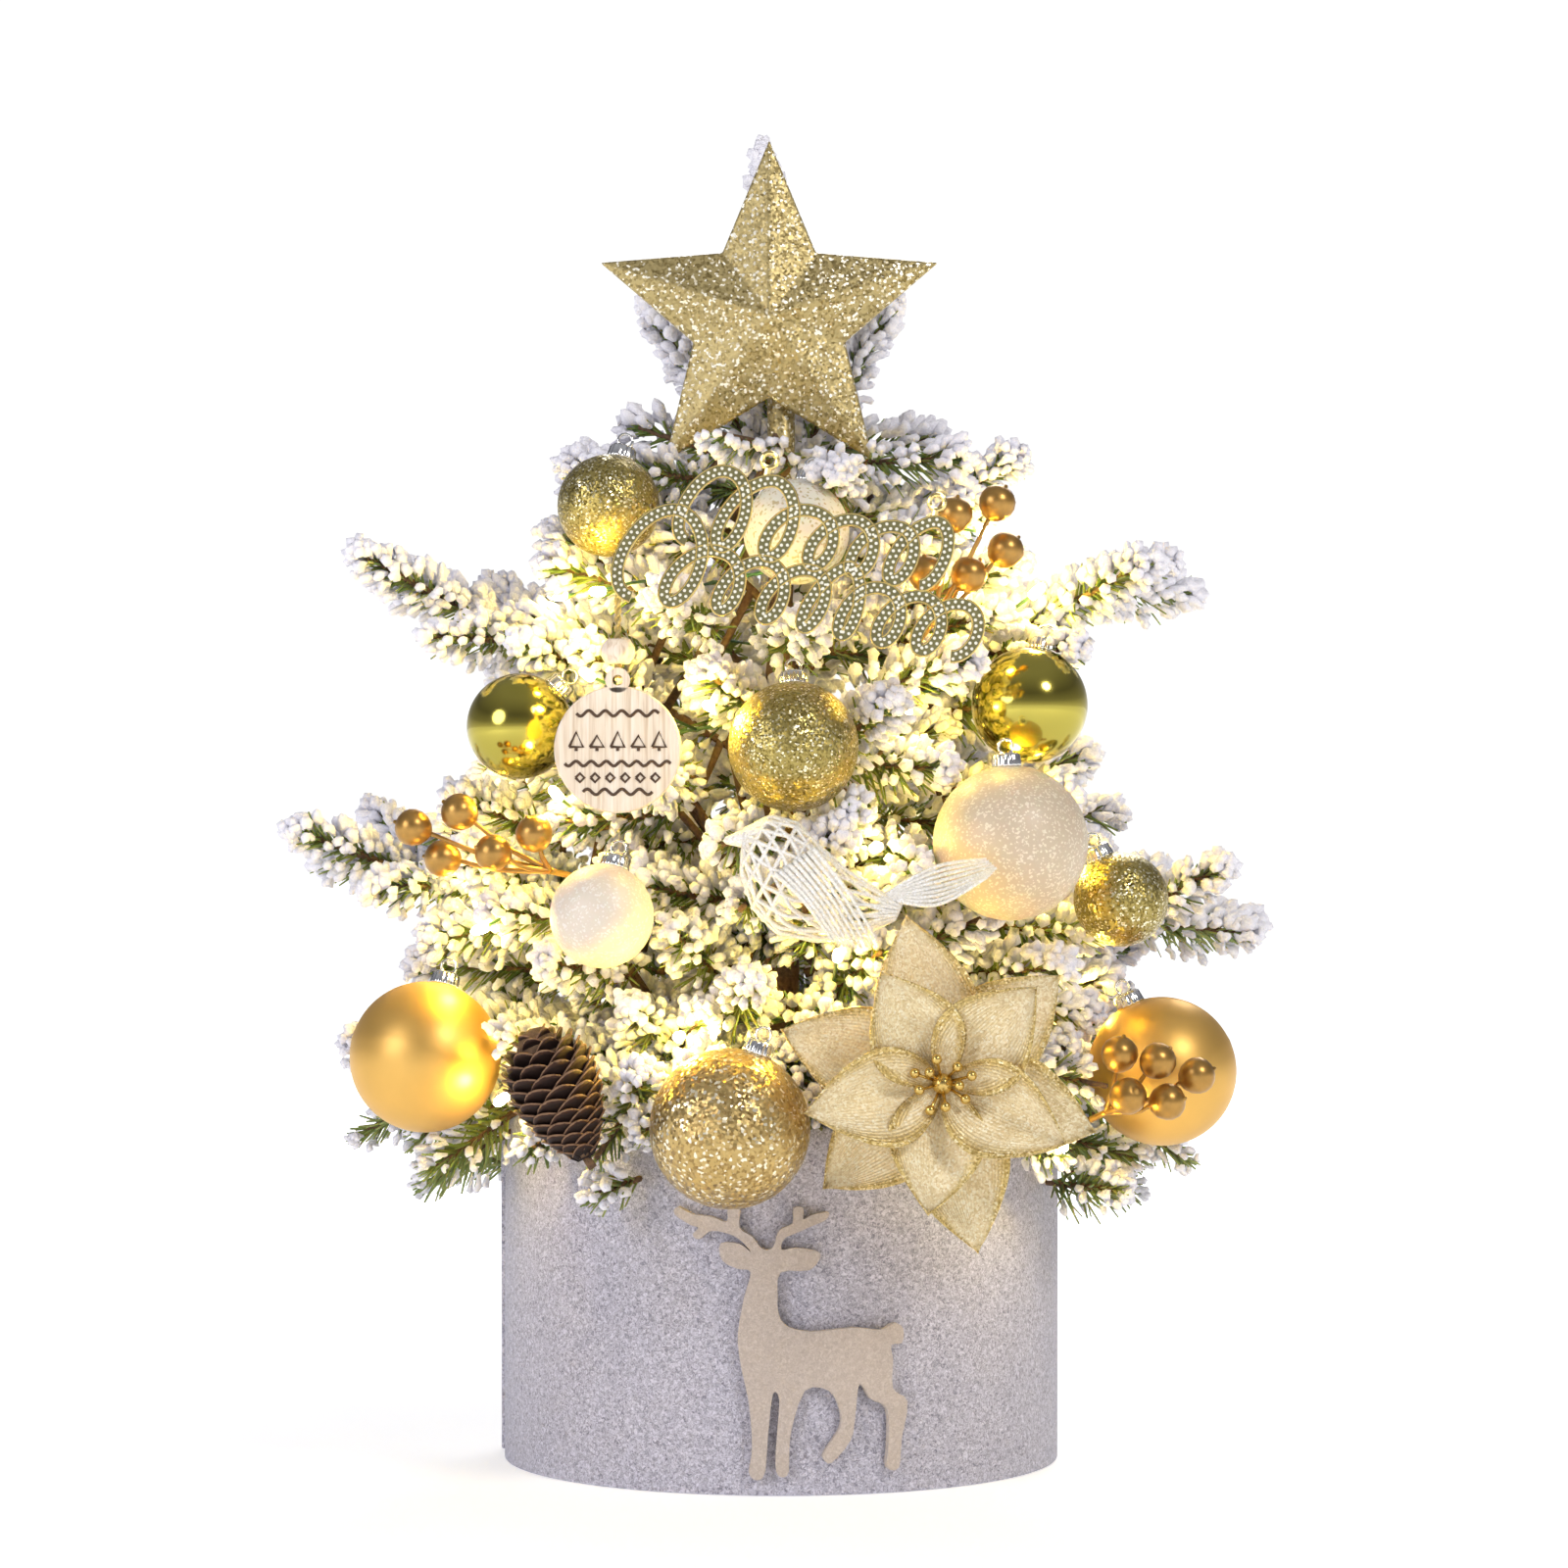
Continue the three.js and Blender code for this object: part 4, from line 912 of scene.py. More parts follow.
def add_foliage():
    rng = np.random.default_rng(20)
    rules = keep_outs()
    fillers = filler_lines(rng)
    fillers["branch_mid_back"] = fillers.get("branch_mid_back", []) + [
        (np.array(a, float), np.array(b, float), FILLER_REACH) for a, b in BACK_SPRIGS]
    for branch in BRANCHES:
        brush, sprigs = brush_lines(branch)[:2], brush_lines(branch)[2:]
        sprigs = [line for line in sprigs if not pierces(line[:2], rules[0])]
        stems = [[spine(branch, s) for s in np.linspace(0.05, 1, 9)]]
        stems += [[start, (start + end) / 2, end] for start, end, _ in sprigs]
        kept = []
        joins = [spine(branch, s) for s in np.linspace(0.15, 0.9, 12)]
        for line in fillers.get(branch[0], []):
            start, end = line[:2]
            near = min(joins, key=lambda p: np.linalg.norm(p - start))
            stem = [near, start, (start + end) / 2, end]
            if not pierces(stem, rules[0]):
                stems.append(stem)
                kept.append(line)
        add_branch(branch[0], stems, brush + sprigs + kept, rng, rules)
    fork = LEADER_STEM[1]
    stems = [LEADER_STEM] + [[fork, tip] for tip in LEADER_TIPS]
    add_branch("top_leader", stems, [(fork, tip, 11) for tip in LEADER_TIPS], rng, rules)


# ---------- light string ----------
# How deep the lamps inside sit, as a share of the shell's half width, and their number.
LAMP_DEPTH = 0.84
HIDDEN_LAMPS = 28
# A lamp's clear distance from every bauble.
LAMP_ROOM = 0.0075
# Lamps that sit openly at the front: place across and height, in millimetres.
OPEN_LAMPS = [(-59, 291), (59, 289), (84, 291), (-23, 253), (-72, 224), (-62, 263), (-97, 181), (-89, 127),
              (18, 173), (-32, 148), (81, 234), (89, 114)]
# Watts of a lamp inside and of an open one, and what is left of it near the pot, under this height.
LAMP_POWER = (0.042, 0.14)
LOW_LAMP, LOW_SHARE = 0.135, 0.45


def wire_path():
    """Out of the battery box and over the pot's plaster, then a spiral up inside the foliage."""
    points = [(30, 56.6, 62), (34, 63, 76), (45, 66, 98), (60, 58, 114)]
    turns, per_turn = 4.2, 12
    steps = round(turns * per_turn)
    for i in range(1, steps + 1):
        share = i / steps
        angle = radians(44) + share * turns * TURN
        points.append(((96 - 62 * share) * cos(angle), (64 - 38 * share) * sin(angle), 120 + 208 * share))
    return smooth_path(np.array(points) * MM, 6)


def open_lamps():
    """Places of the lamps at the front, on the foliage's outer shell."""
    places = []
    for x, z in OPEN_LAMPS:
        wide = shell_width(z)
        places.append(np.array([x, -0.86 * sqrt(max(0.05, 1 - (x / wide) ** 2)) * wide, z]) * MM)
    return places


def pulled_back(root, tip, balls):
    """The lamp's place, drawn back along its neck until it clears every ball."""
    for share in np.linspace(1, 0.2, 17):
        spot = root + (tip - root) * share
        if all(np.linalg.norm(spot - centre) > radius + LAMP_ROOM for centre, radius in balls):
            break
    return spot


def add_light_string():
    """Twisted green wire that carries small warm lamps on short necks."""
    path = wire_path()
    ahead = unit(np.gradient(path, axis=0))
    side = unit(np.cross(ahead, [0.0, 0.0, 1.0]))
    travelled = np.concatenate([[0], np.cumsum(np.linalg.norm(np.diff(path, axis=0), axis=1))])
    wires, lamps, necks = Build(), Build(), []
    twisted_pair(wires, path, side, np.cross(ahead, side), travelled, 0.009, 0.0005, 0.00048, 5)
    for i in range(HIDDEN_LAMPS):
        at = travelled[-1] * (0.08 + 0.92 * (i + 0.5) / HIDDEN_LAMPS)
        root = path[int(np.searchsorted(travelled, at))]
        out = unit(np.array([root[0], root[1], 0.0]))
        depth = LAMP_DEPTH * (1 - 0.14 * abs(out[1])) * shell_width(root[2] / MM) * MM
        reach = max(0.008, depth - hypot(root[0], root[1]))
        necks.append((root, root + out * reach + np.array([0, 0, 0.005 * sin(3 * i)])))
    necks += [(path[np.argmin(np.linalg.norm(path - tip, axis=1))], tip) for tip in open_lamps()]
    outline = [(0, -0.001), (0.0016, -0.001), (0.0017, 0.002), (0.0015, 0.004), (0.0008, 0.0052), (0, 0.0056)]
    bulb = turned(outline, 10)
    balls = [bauble_place(name) for name in BAUBLE_LOOKS]
    for i, (root, tip) in enumerate(necks):
        tip = pulled_back(root, tip, balls)
        way = unit(tip - root)
        bowed(wires, root, tip, [0, 0, 0.003], 0.0006, 5, 4)
        lamps.add(*bulb, matrix=along(way, tip))
        data = bpy.data.lights.new(f"lamp_{i}", "POINT")
        spot = tip + way * 0.004
        data.energy = LAMP_POWER[i >= HIDDEN_LAMPS] * (1 if spot[2] > LOW_LAMP else LOW_SHARE)
        data.shadow_soft_size = 0.004
        data.color = (1.0, 0.70, 0.06)
        linked(f"lamp_{i}", data, spot)
    wires.finish("light_wire", ["wire"], "tree", "wire_green", "light_string")
    lamps.finish("light_lamps", ["lamp"], "tree", "wire_green")


# ---------- star ----------
# Radius of the star's notches as a share of its tips', and the thickness of its rim.
STAR_NOTCH = 0.45
STAR_RIM = 0.0016
SLEEVE_BORE = 0.0038


def add_star():
    """Two faceted halves with rounded ridges, on a tapered sleeve."""
    for name, sign in (("star_front", -1), ("star_back", 1)):
        low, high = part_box(name)
        # The star's middle is where its tips' circle has its centre, under the top tip.
        outer = (high.x - low.x) / 2 / cos(radians(18))
        centre = Vector(((low.x + high.x) / 2, 0, high.z - outer))
        near = low.y if sign > 0 else high.y
        far = high.y if sign > 0 else low.y
        rim = [(outer * (STAR_NOTCH if i % 2 else 1), pi / 2 + i * pi / 5) for i in range(10)]
        ring = [(centre.x + r * cos(a), centre.z + r * sin(a)) for r, a in rim]
        vertices = [(centre.x, near, centre.z), (centre.x, far, centre.z)]
        vertices += [(x, near, z) for x, z in ring]
        vertices += [(x, near + sign * STAR_RIM, z) for x, z in ring]
        faces = []
        for i in range(10):
            j = (i + 1) % 10
            group = [[0, 2 + i, 2 + j], [2 + i, 12 + i, 12 + j, 2 + j], [1, 12 + j, 12 + i]]
            faces += [f if sign < 0 else f[::-1] for f in group]
        piece = mesh_piece(f"glitter_{name}", vertices, faces, ["star"], smooth=False)
        edges = bmesh.new()
        edges.from_mesh(piece.data)
        bmesh.ops.recalc_face_normals(edges, faces=edges.faces[:])
        edges.to_mesh(piece.data)
        edges.free()
        soften(piece, 0.0007, 12, 2)
        place(piece, "star", "star_glitter", name)
    low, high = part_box("star_sleeve")
    axis = (low + high) / 2
    radius = high.x - axis.x
    profile = [(SLEEVE_BORE, low.z), (radius - 0.0006, low.z), (radius - 0.0002, low.z + 0.001), (radius, high.z),
               (SLEEVE_BORE, high.z)]
    sleeve = Build()
    sleeve.add(*ring_turned(profile, 40), matrix=Matrix.Translation((axis.x, axis.y, 0)))
    sleeve.finish("glitter_star_sleeve", ["star"], "star", "star_glitter", "star_sleeve")


# ---------- plaque ----------
# Each loop of the two flourishes: middle along the row, middle up it, half width, half height.
PLAQUE_ROWS = [
    [(-33, 13, 9, 14), (-17, 13, 9, 14), (-2, 9.5, 8.5, 10.5), (11.5, 9.5, 8, 10.5), (24.5, 10, 8, 10.5),
     (36, 12, 7.5, 12.5)],
    [(-42, -5, 12, 17), (-24, -9.5, 8, 11), (-9.5, -9.5, 8, 11), (4.5, -9.5, 8, 11), (16, -8, 6, 13),
     (28.5, -10, 8, 10.5), (41.5, -10, 8, 10.5), (54.5, -10, 8.5, 10.5)],
]
PLAQUE_RINGS = [(-15, 31), (39.5, 28.5)]
PLAQUE_BAND = 4.2
PLAQUE_SLANT = 0.22
PLAQUE_TILT = 0.2
PLAQUE_AT = (5, -112, 297)
# Each row of studs: place across the band in millimetres, and how far it runs ahead, in pitches.
STUD_ROWS = [(-0.8, 0.0), (0.8, 0.5)]
STUD_PITCH = 0.0021


def band(build, line, depth):
    """A flat gilt band with raised edges and two rows of studs, along an (x, z) line in metres."""
    half, back, face, rim = PLAQUE_BAND / 2 * MM, 0.0018, -0.0013, -0.0017
    points = np.column_stack([line[:, 0], depth, line[:, 1]])
    ahead = unit(np.gradient(points, axis=0))
    side = np.column_stack([-ahead[:, 2], np.zeros(len(ahead)), ahead[:, 0]])
    lip = half - 0.0005
    section = [(-half, back), (half, back), (half, rim + 0.0002), (half - 0.0002, rim), (lip, rim), (lip, face),
               (-lip, face), (-lip, rim), (-half + 0.0002, rim), (-half, rim + 0.0002)]
    vertices = [p + s * a + np.array([0, b, 0]) for p, s in zip(points, side) for a, b in section]
    size, count = len(section), len(points)
    faces = between_rings(count, size, outward=False)
    faces += [list(range(size)), [(count - 1) * size + i for i in range(size)][::-1]]
    start = len(build.faces)
    build.add(vertices, faces, index=1)
    build.indices[start + 5:start + (count - 1) * size:size] = [0] * (count - 1)  # the sunk face is dark
    length = np.concatenate([[0], np.cumsum(np.linalg.norm(np.diff(points, axis=0), axis=1))])
    dome = turned([(0, -0.0002), (0.0006, -0.0002), (0.0005, 0.00022), (0, 0.0005)], 7)
    for offset, phase in STUD_ROWS:
        for s in np.arange(STUD_PITCH * (0.5 + phase), length[-1], STUD_PITCH):
            at, way = (np.array([np.interp(s, length, line) for line in rows.T]) for rows in (points, side))
            build.add(*dome, index=2, matrix=along((0, -1, 0), at + way * offset * MM + [0, face, 0]))


def add_plaque():
    """Openwork scrolls in two rows, held on two rings."""
    build = Build()
    for row in PLAQUE_ROWS:
        count, steps = len(row), 36
        turns = np.arange(count * steps + 1) / steps
        x, z, wide, tall = (np.interp(turns, np.arange(count) + 0.5, column) for column in np.array(row, float).T)
        # The row's two ends run out past its first and last loop.
        x += np.where(turns < 0.5, turns - 0.5, 0) * 6 + np.where(turns > count - 0.5, turns - count + 0.5, 0) * 6
        angle = TURN * turns
        up = z - (tall - PLAQUE_BAND / 2) * np.cos(angle)
        across = x - (wide - PLAQUE_BAND / 2) * np.sin(angle) + PLAQUE_SLANT * up
        band(build, np.column_stack([across, up]) * MM, 0.00016 * np.sin(angle))
    for x, z in PLAQUE_RINGS:
        eyelet(build, np.array([x, 0, z]) * MM, [0.0024, 0, 0], [0, 0, 0.0024], 0.0008, 24, 8, index=1)
        build.add(*tube(np.array([(x, 0, z - 2.6), (x, 0, z - 4.5), (x, 0, z - 7)]) * MM, 0.0011, 8), index=1)
    piece = build.finish("scroll_plaque", ["plaque_face", "plaque_edge", "stud"], "plaque", "plaque_gold",
                         "scrollwork_plaque", smooth=False)
    piece.data.transform(Matrix.Translation(Vector(PLAQUE_AT) * MM) @ Matrix.Rotation(PLAQUE_TILT, 4, "Y"))


# ---------- wooden tag ----------
def ribbon(build, points, width, front):
    """A thin burnt line on the tag's face, through (x, z) points in metres."""
    build.add(*tube([(x, front, z) for x, z in points], width / 2, 6), index=1)


def add_tag():
    """A disc with a generic pattern of lines, firs and gems, a bead and a twisted cord."""
    low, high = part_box("tag_disc")
    radius, half = (high.x - low.x) / 2, (high.y - low.y) / 2
    middle = Vector(((low.x + high.x) / 2, (low.y + high.y) / 2, low.z + radius))
    facing = Matrix.Rotation(pi / 2, 4, "X")
    build = Build()
    edge = 0.0005
    profile = [(0, -half), (radius - edge, -half), (radius, -half + edge), (radius, half - edge),
               (radius - edge, half), (0, half)]
    build.add(*turned(profile, 96), matrix=Matrix.Translation(middle) @ facing)
    hole = [(0.0017, -half), (0.0039, -half), (0.004, half), (0.0017, half)]
    build.add(*ring_turned(hole, 32), matrix=Matrix.Translation(middle + Vector((0, 0, radius + 0.0018))) @ facing)
    front = middle.y - half - 0.00005
    for level, swing, count in ((0.0115, 0.0009, 5), (-0.0045, 0.0008, 7), (-0.0135, 0.0009, 4)):
        reach = sqrt(max(0, (radius * 0.86) ** 2 - level ** 2))
        across = np.linspace(-reach, reach, 60)
        wave = middle.z + level + swing * np.sin(across / reach * pi * count)
        ribbon(build, zip(middle.x + across, wave), 0.001, front)
    base = middle.z + 0.0008
    for k in range(5):
        x = middle.x + (k - 2) * 0.0066
        tall = 0.0048 if k % 2 == 0 else 0.0036
        ribbon(build, [(x - 0.0022, base), (x, base + tall), (x + 0.0022, base), (x - 0.0022, base)], 0.0009, front)
        ribbon(build, [(x, base), (x, base - 0.0013)], 0.001, front)
    z, r = middle.z - 0.009, 0.0014
    for k in range(6):
        x = middle.x + (k - 2.5) * 0.0048
        ribbon(build, [(x - r, z), (x, z + r), (x + r, z), (x, z - r), (x - r, z)], 0.0009, front)
    build.finish("wood_tag", ["wood", "burn"], "tag", "maple", "tag_disc", smooth=False)
    low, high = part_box("tag_bead")
    axis, tall = (low + high) / 2, high.z - low.z
    wall = [(0.0038 + 0.0018 * sin(pi * k / 12), low.z + tall * k / 12) for k in range(13)]
    bead = Build()
    bead.add(*ring_turned([(0.0017, low.z)] + wall + [(0.0017, high.z)], 32),
             matrix=Matrix.Translation((axis.x, axis.y, 0)))
    bead.finish("wood_bead", ["wood"], "tag", "maple", "tag_bead")
    low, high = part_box("tag_cord")
    axis = (low + high) / 2
    cord = Build()
    levels = np.linspace(low.z - 0.0035, high.z, 70)
    path = np.column_stack([np.full(70, axis.x), np.full(70, axis.y), levels])
    twisted_pair(cord, path, [1, 0, 0], [0, 1, 0], levels - low.z, 0.006, 0.00062, 0.0006, 7)
    eyelet(cord, [axis.x, axis.y, high.z + 0.003], [0, 0.0034, 0], [0, 0, 0.0036], 0.0006, 22, 6)
    cord.finish("twisted_cord", ["cord"], "tag", "gold_cord", "tag_cord")


# ---------- bird ----------
# The body's back line (across, up), belly line (across, up) and half width at shares from brow to rump.
BIRD_KEYS = [0, 0.14, 0.3, 0.48, 0.66, 0.84, 1.0]
BIRD_LINES = [
    [-11.5, -3, 5.5, 12.5, 20.5, 29.5, 38], [213.5, 218, 215.5, 208, 201, 195, 189.5],
    [-12, -12.5, -9, -1, 11, 24, 36], [208.5, 200, 189, 181, 178.5, 180, 185.5], [2.2, 6.5, 9.5, 11, 10, 7, 2.5],
]
BIRD_Y = -0.118
QUILL = (0.0009, 0.0005)


def bird_surface(u, v):
    """The openwork body: u from the brow (0) to the rump (1), v round it."""
    top_x, top_z, low_x, low_z, wide = (np.interp(u, BIRD_KEYS, line) for line in BIRD_LINES)
    swing = (1 + np.cos(v)) / 2
    across, up = low_x + (top_x - low_x) * swing, low_z + (top_z - low_z) * swing
    return np.array([across, BIRD_Y / MM + wide * np.sin(v), up]) * MM


def add_bird():
    """A body of crossed spirals and rings, a beak, tail quills and wing quills."""
    build = Build()
    shares = np.linspace(0.0, 1.0, 40)
    for way in (-1, 1):
        for k in range(15):
            line = np.array([bird_surface(u, TURN * k / 15 + way * 1.5 * u) for u in shares])
            build.add(*tube(line, 0.00072, 5))
    for k in range(5):
        ring = np.array([bird_surface(0.03 + 0.09 * k, v) for v in np.linspace(0, TURN, 28, endpoint=False)])
        build.add(*tube(ring, 0.0007, 5, closed=True))
    beak = turned([(0, -0.0015), (0.0031, -0.0015), (0.0026, 0.002), (0.0012, 0.0062), (0, 0.0072)], 12)
    build.add(*beak, matrix=along((-1, 0, -0.1), (-0.0112, BIRD_Y, 0.2108)))
    for k in range(9):
        spread = (k - 4) / 4
        start = np.array([0.032, BIRD_Y, 0.1925])
        end = np.array([0.068 - 0.003 * abs(spread), BIRD_Y + 0.004 * spread, 0.2015 + 0.0028 * spread])
        bowed(build, start, end, [0, 0.002 * spread, 0.0045 * spread - 0.0012], QUILL, 5)
    for side in (-1, 1):
        for k in range(9):
            share = k / 8
            start = np.array([-0.002 + 0.012 * share, BIRD_Y + side * 0.0105, 0.2 + 0.008 * share])
            end = np.array([0.0165 + 0.014 * share, BIRD_Y + side * (0.0125 - 0.003 * share),
                            0.1785 - 0.002 * sin(3 * share)])
            bowed(build, start, end, [0, side * 0.0022, 0.002], QUILL, 5)
    build.finish("openwork_bird", ["white_glitter"], "tree", "white_glitter", "bird")


# ---------- poinsettia ----------
PETAL_GRID = (26, 16)


def petal_grid(length, width, cup, fold, twist, seed):
    """One petal over a grid: along +X, face to +Z. Returns places, rim shares and (s, t)."""
    places, rims, uvs = [], [], []
    long_steps, cross_steps = PETAL_GRID
    for i in range(long_steps + 1):
        s = i / long_steps
        half = width / 2 * (sin(pi * s ** 0.82) ** 0.9 * 0.92 + 0.08 * (1 - s))
        for j in range(cross_steps + 1):
            t = 2 * j / cross_steps - 1
            x = length * (0.04 + 0.96 * s) - length * 0.015 * t * t
            ripple = 0.0007 * sin(9 * s + 3 * t + seed) * abs(t) + 0.0004 * sin(17 * s - 5 * t + 2 * seed)
            z = cup * length * s ** 2 + half * (fold * abs(t) ** 1.4 - 0.12 * t ** 4 + twist * t * s) + ripple
            places.append((x, half * t, z))
            rims.append(max(abs(t), s ** 6))
            uvs.append((s, j / cross_steps))
    return np.array(places), rims, uvs


def add_petals(name, node_name, count, first, length, width, lean, lift, fold, cup):
    """A star of petals on the stamens' axis, facing the front."""
    low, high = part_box(node_name)
    middle = centre_of("flower_stamens")
    facing = Matrix.Translation((middle[0], high.y, middle[2])) @ Matrix.Rotation(pi / 2, 4, "X")
    vertices, faces, rims, uvs = [], [], [], []
    for k in range(count):
        angle = radians(first + 360 * k / count)
        size = length * (1 + 0.05 * sin(2.4 * k + first))
        bend = fold * (1 + 0.35 * sin(2.9 * k + first))
        twist = 0.4 * sin(2.1 * k + 0.5 * first)
        grid, rim, uv = petal_grid(size, width, cup, bend, twist, 1.7 * k + first)
        turn = facing @ Matrix.Rotation(angle, 4, "Z") @ Matrix.Rotation(radians(lean), 4, "Y")
        grid = moved(grid + [0, 0, lift], turn)
        faces += grid_faces(*PETAL_GRID, base=len(vertices))
        vertices.extend(grid.tolist())
        rims.extend(rim)
        uvs.extend(uv)
    piece = mesh_piece(name, vertices, faces, ["petal"])
    shares(piece, "rim", rims)
    layer = piece.data.uv_layers.new(name="petal")
    for loop in piece.data.loops:
        layer.data[loop.index].uv = uvs[loop.vertex_index]
    cloth = piece.modifiers.new("cloth", "SOLIDIFY")
    cloth.thickness = 0.0005
    cloth.offset = 0
    place(piece, "tree", "petal_cloth", node_name)


def add_flower():
    add_petals("poinsettia_outer", "flower_outer_petals", 6, 42, 0.0525, 0.034, 2, 0.0002, 0.5, 0.03)
    add_petals("poinsettia_inner", "flower_inner_petals", 5, 47, 0.0445, 0.032, -12, 0.002, 0.72, 0.12)
    middle = centre_of("flower_stamens")
    build = Build()
    for k in range(10):
        out = np.array([cos(k * GOLDEN), 0, sin(k * GOLDEN)])
        reach = 0.0035 + 0.0062 * sqrt((k + 0.5) / 10)
        root = middle + out * 0.002 + [0, 0.004, 0]
        tip = middle + out * reach + [0, 0.0025 * sin(3 * k) - 0.0065, 0]
        bowed(build, root, tip, [0, -0.0022, 0], 0.0005, 6, 5)
        build.add(*sphere(tip, 0.00165, 14, 9))
    build.add(*sphere(middle + [0, 0.0005, 0], 0.0034, 16, 10))
    build.finish("poinsettia_stamens", ["stamen"], "tree", "stamen_gold", "flower_stamens")


# ---------- pine cone ----------
CONE_DIP = radians(66.5)
CONE_WAY = (-cos(CONE_DIP), 0.0, sin(CONE_DIP))
CONE_LENGTH = 0.047
CONE_SCALES = 112


def add_cone():
    """Scales set on a golden-angle spiral round a core, the narrow stalk end low."""
    start = centre_of("pine_cone") - np.array(CONE_WAY) * CONE_LENGTH / 2
    turn = along(CONE_WAY, start)
    places, faces, tips = [], [], []
    rows, columns = 6, 8
    for k in range(CONE_SCALES):
        share = (k + 0.5) / CONE_SCALES
        body = np.interp(share, [0, 0.2, 0.45, 0.7, 0.88, 1], [0.0058, 0.0108, 0.0143, 0.0146, 0.0112, 0.003])
        size = np.interp(share, [0, 0.3, 0.7, 1], [0.0048, 0.0078, 0.0082, 0.0046])
        angle = k * GOLDEN
        out = np.array([cos(angle), sin(angle), 0])
        across = np.array([-sin(angle), cos(angle), 0])
        flare = unit(out * (0.85 - 0.55 * share) + np.array([0, 0, 0.8]))
        lip = np.array([0, 0, 0.004 + share * (CONE_LENGTH - 0.006)]) + out * body
        root = lip - flare * size * 1.3
        faces += [face[:1] + face[:0:-1] for face in grid_faces(rows, columns, base=len(places))]
        for i in range(rows + 1):
            s = i / rows
            mid = root + (lip - root) * s + out * 0.0012 * s * s
            half = size * 0.78 * sin(pi * (0.22 + 0.3 * s))
            for j in range(columns + 1):
                t = 2 * j / columns - 1
                drop = (0.0034 * t * t * s + 0.0006 * abs(t) ** 6) * s
                places.append(mid + across * half * t - out * 0.0018 * t * t * s - flare * drop)
                tips.append(s)
    piece = mesh_piece("cone_scales", moved(places, turn), faces, ["cone"])
    shares(piece, "tip", tips)
    piece.modifiers.new("scale_thickness", "SOLIDIFY").thickness = 0.0006
    place(piece, "tree", "cone_brown", "pine_cone")
    profile = [(0, 0.001), (0.003, 0.001), (0.0078, 0.010), (0.0108, 0.024), (0.0095, 0.036), (0.004, 0.044),
               (0, 0.045)]
    core = Build()
    core.add(*turned(profile, 20), matrix=turn)
    core.add(*tube([(0, 0, 0.002), (0.0003, 0, -0.001), (0.0008, 0, -0.0035)], 0.0014, 8), matrix=turn)
    core.finish("cone_core", ["stem"], "tree", "cone_brown")


# ---------- berries ----------
# Places in millimetres.
SPRAYS = {
    "berry_spray_left": {
        "foot": (-52, -66, 192), "knot": (-74, -88, 200),
        "berries": [(-118, -90, 214), (-103, -92, 219), (-109, -84, 204), (-92, -95, 206), (-79, -93, 212)],
    },
    "berry_spray_upper_right": {
        "foot": (40, -50, 266), "knot": (49, -72, 280),
        "berries": [(70, -76, 319), (73, -70, 304), (56, -80, 315), (61, -72, 296), (47, -78, 296)],
    },
    "berry_spray_lower_right": {
        "foot": (92, -64, 112), "knot": (105, -82, 122),
        "berries": [(109, -86, 141), (121, -89, 139), (134, -84, 134), (124, -90, 126), (111, -94, 128)],
    },
}


def add_sprays():
    """Round berries with a small nub, on thin stalks that leave one knot."""
    outline = [(0, -0.0060), (0.0010, -0.0061), (0.0028, -0.0053), (0.0047, -0.0036), (0.0058, -0.0012),
               (0.0060, 0.0008), (0.0053, 0.0031), (0.0037, 0.0048), (0.0018, 0.0057), (0.0008, 0.0058),
               (0.0005, 0.0066), (0, 0.0068)]
    for name, spray in SPRAYS.items():
        build = Build()
        foot, knot = np.array(spray["foot"]) * MM, np.array(spray["knot"]) * MM
        bowed(build, foot, knot, [0, 0, 0.001], 0.0011, 8)
        for berry in np.array(spray["berries"]) * MM:
            way = unit(berry - knot)
            bowed(build, knot, berry - way * 0.005, way * 0.0025 + [0, 0, -0.0015], (0.001, 0.0007), 7)
            build.add(*turned(outline, 24), matrix=along(way, berry))
        build.finish(name.replace("berry_spray", "berries"), ["berry"], "tree", "berry_copper", name)


# ---------- baubles ----------
BAUBLE_LOOKS = {
    "bauble_glitter_upper_left": "gold_glitter", "bauble_speckled_top": "speckle_shell",
    "bauble_mirror_left": "mirror", "bauble_mirror_right": "mirror", "bauble_glitter_centre": "gold_glitter",
    "bauble_frosted_right": "frosted", "bauble_glitter_right": "gold_glitter",
    "bauble_frosted_left": "frosted_white", "bauble_satin_left": "satin", "bauble_glitter_front": "champagne",
    "bauble_satin_right": "satin", "bauble_mirror_back": "mirror",
}
SATIN_SEAM = 0.0001
CAP_RADIUS = 0.0042


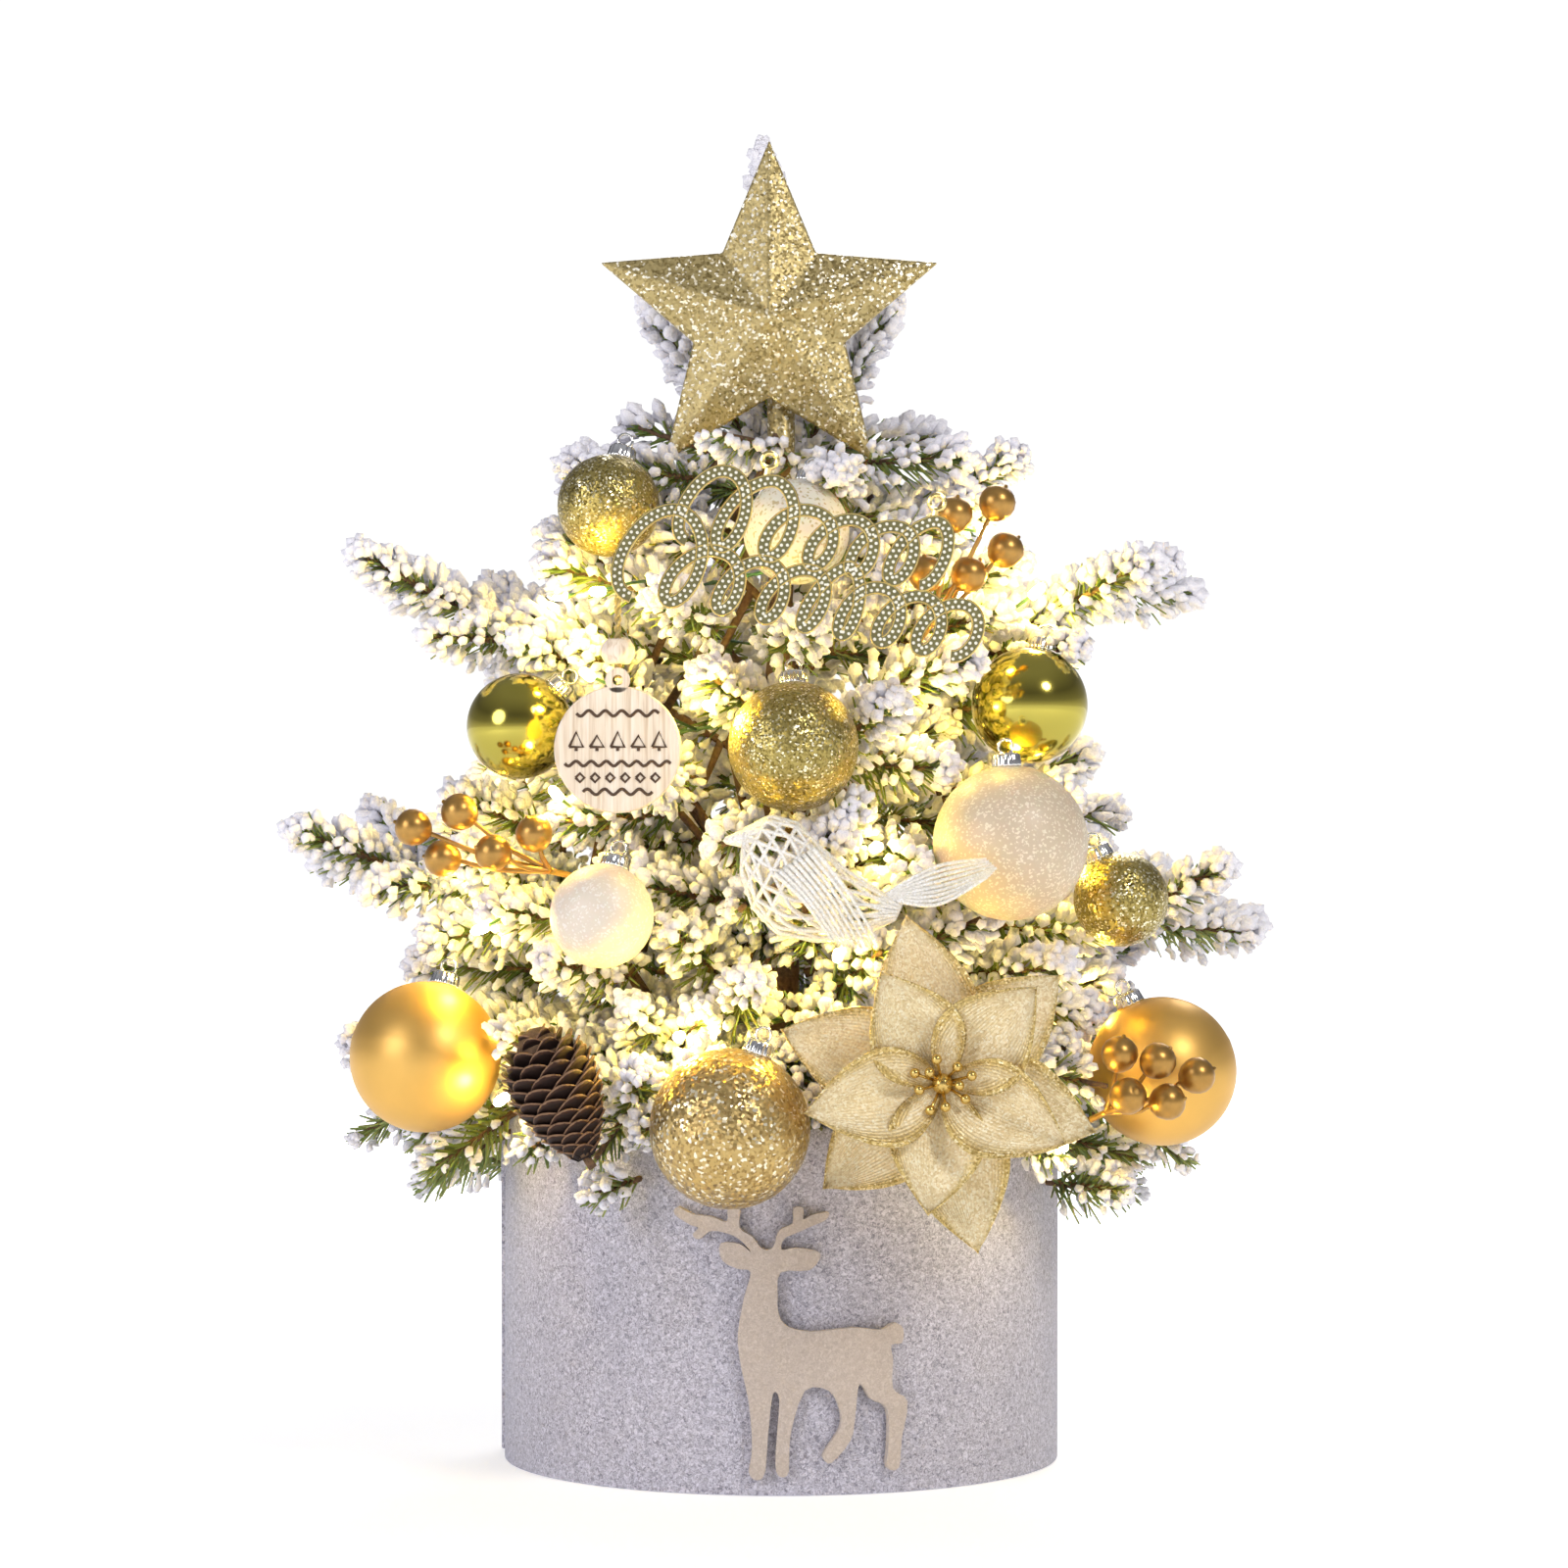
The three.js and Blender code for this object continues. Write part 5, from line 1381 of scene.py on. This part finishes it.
def body_of(name):
    return next(body for body, nodes in BODIES.items() if name in nodes)


def bauble_place(name):
    """(centre, radius) of a bauble: a hung one's centre is on its joint."""
    low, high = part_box(name)
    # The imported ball's flats make its box a little shallower than its radius.
    radius = max((high.x - low.x) / 2, (high.y - low.y) / 2 / sin(radians(72)))
    joint = joint_of(body_of(name))
    return (np.array(joint["pos_m"]) if joint else centre_of(name)), radius


def add_bauble(name, body):
    """A ball, and a fluted cap with its loop, on the joint's axis or a little aslant."""
    look = BAUBLE_LOOKS[name]
    centre, radius = bauble_place(name)
    joint = joint_of(body)
    matrix = along(unit(np.array(joint["axis"] if joint else (0.25, 0.2, 1.0))), centre)
    ball = Build()
    ball.add(*turned(ball_profile(radius, 48, SATIN_SEAM if look == "satin" else 0), 72), matrix=matrix)
    slot = next(s["material_slot"] for s in frame["record"]["subparts"] if s["node"] == name)
    ball.finish(name.replace("bauble", "ball"), [look], body, slot, name)

    base = sqrt(radius ** 2 - CAP_RADIUS ** 2) - 0.0004
    cup = [(0, base), (0.0046, base), (0.0045, base + 0.0012), (CAP_RADIUS, base + 0.0040), (0.0036, base + 0.0048),
           (0, base + 0.0050)]
    cap = Build()
    flutes = turned(cup, 56, lambda angle, k: 1 + (0.07 * cos(14 * angle) if k in (1, 2, 3) else 0))
    cap.add(*flutes, matrix=matrix)
    eyelet(cap, [0, 0, base + 0.0068], [0.0024, 0, 0], [0, 0, 0.0024], 0.0005, 24, 7, matrix=matrix)
    stands_for = [n for n in frame["nodes"] if n == name.replace("bauble", "cap")]
    cap.finish(name.replace("bauble", "crimped_cap"), ["chrome"], body, "cap_silver", *stands_for)


def add_baubles():
    for body, nodes in BODIES.items():
        for name in nodes:
            if name in BAUBLE_LOOKS:
                add_bauble(name, body)


add_camera()
add_studio()
add_felt_wall()
add_felt_bottom()
add_deer()
dress_cad_nodes()
add_trunk()
add_light_string()
add_star()
add_plaque()
add_tag()
add_bird()
add_flower()
add_cone()
add_sprays()
add_baubles()
add_foliage()
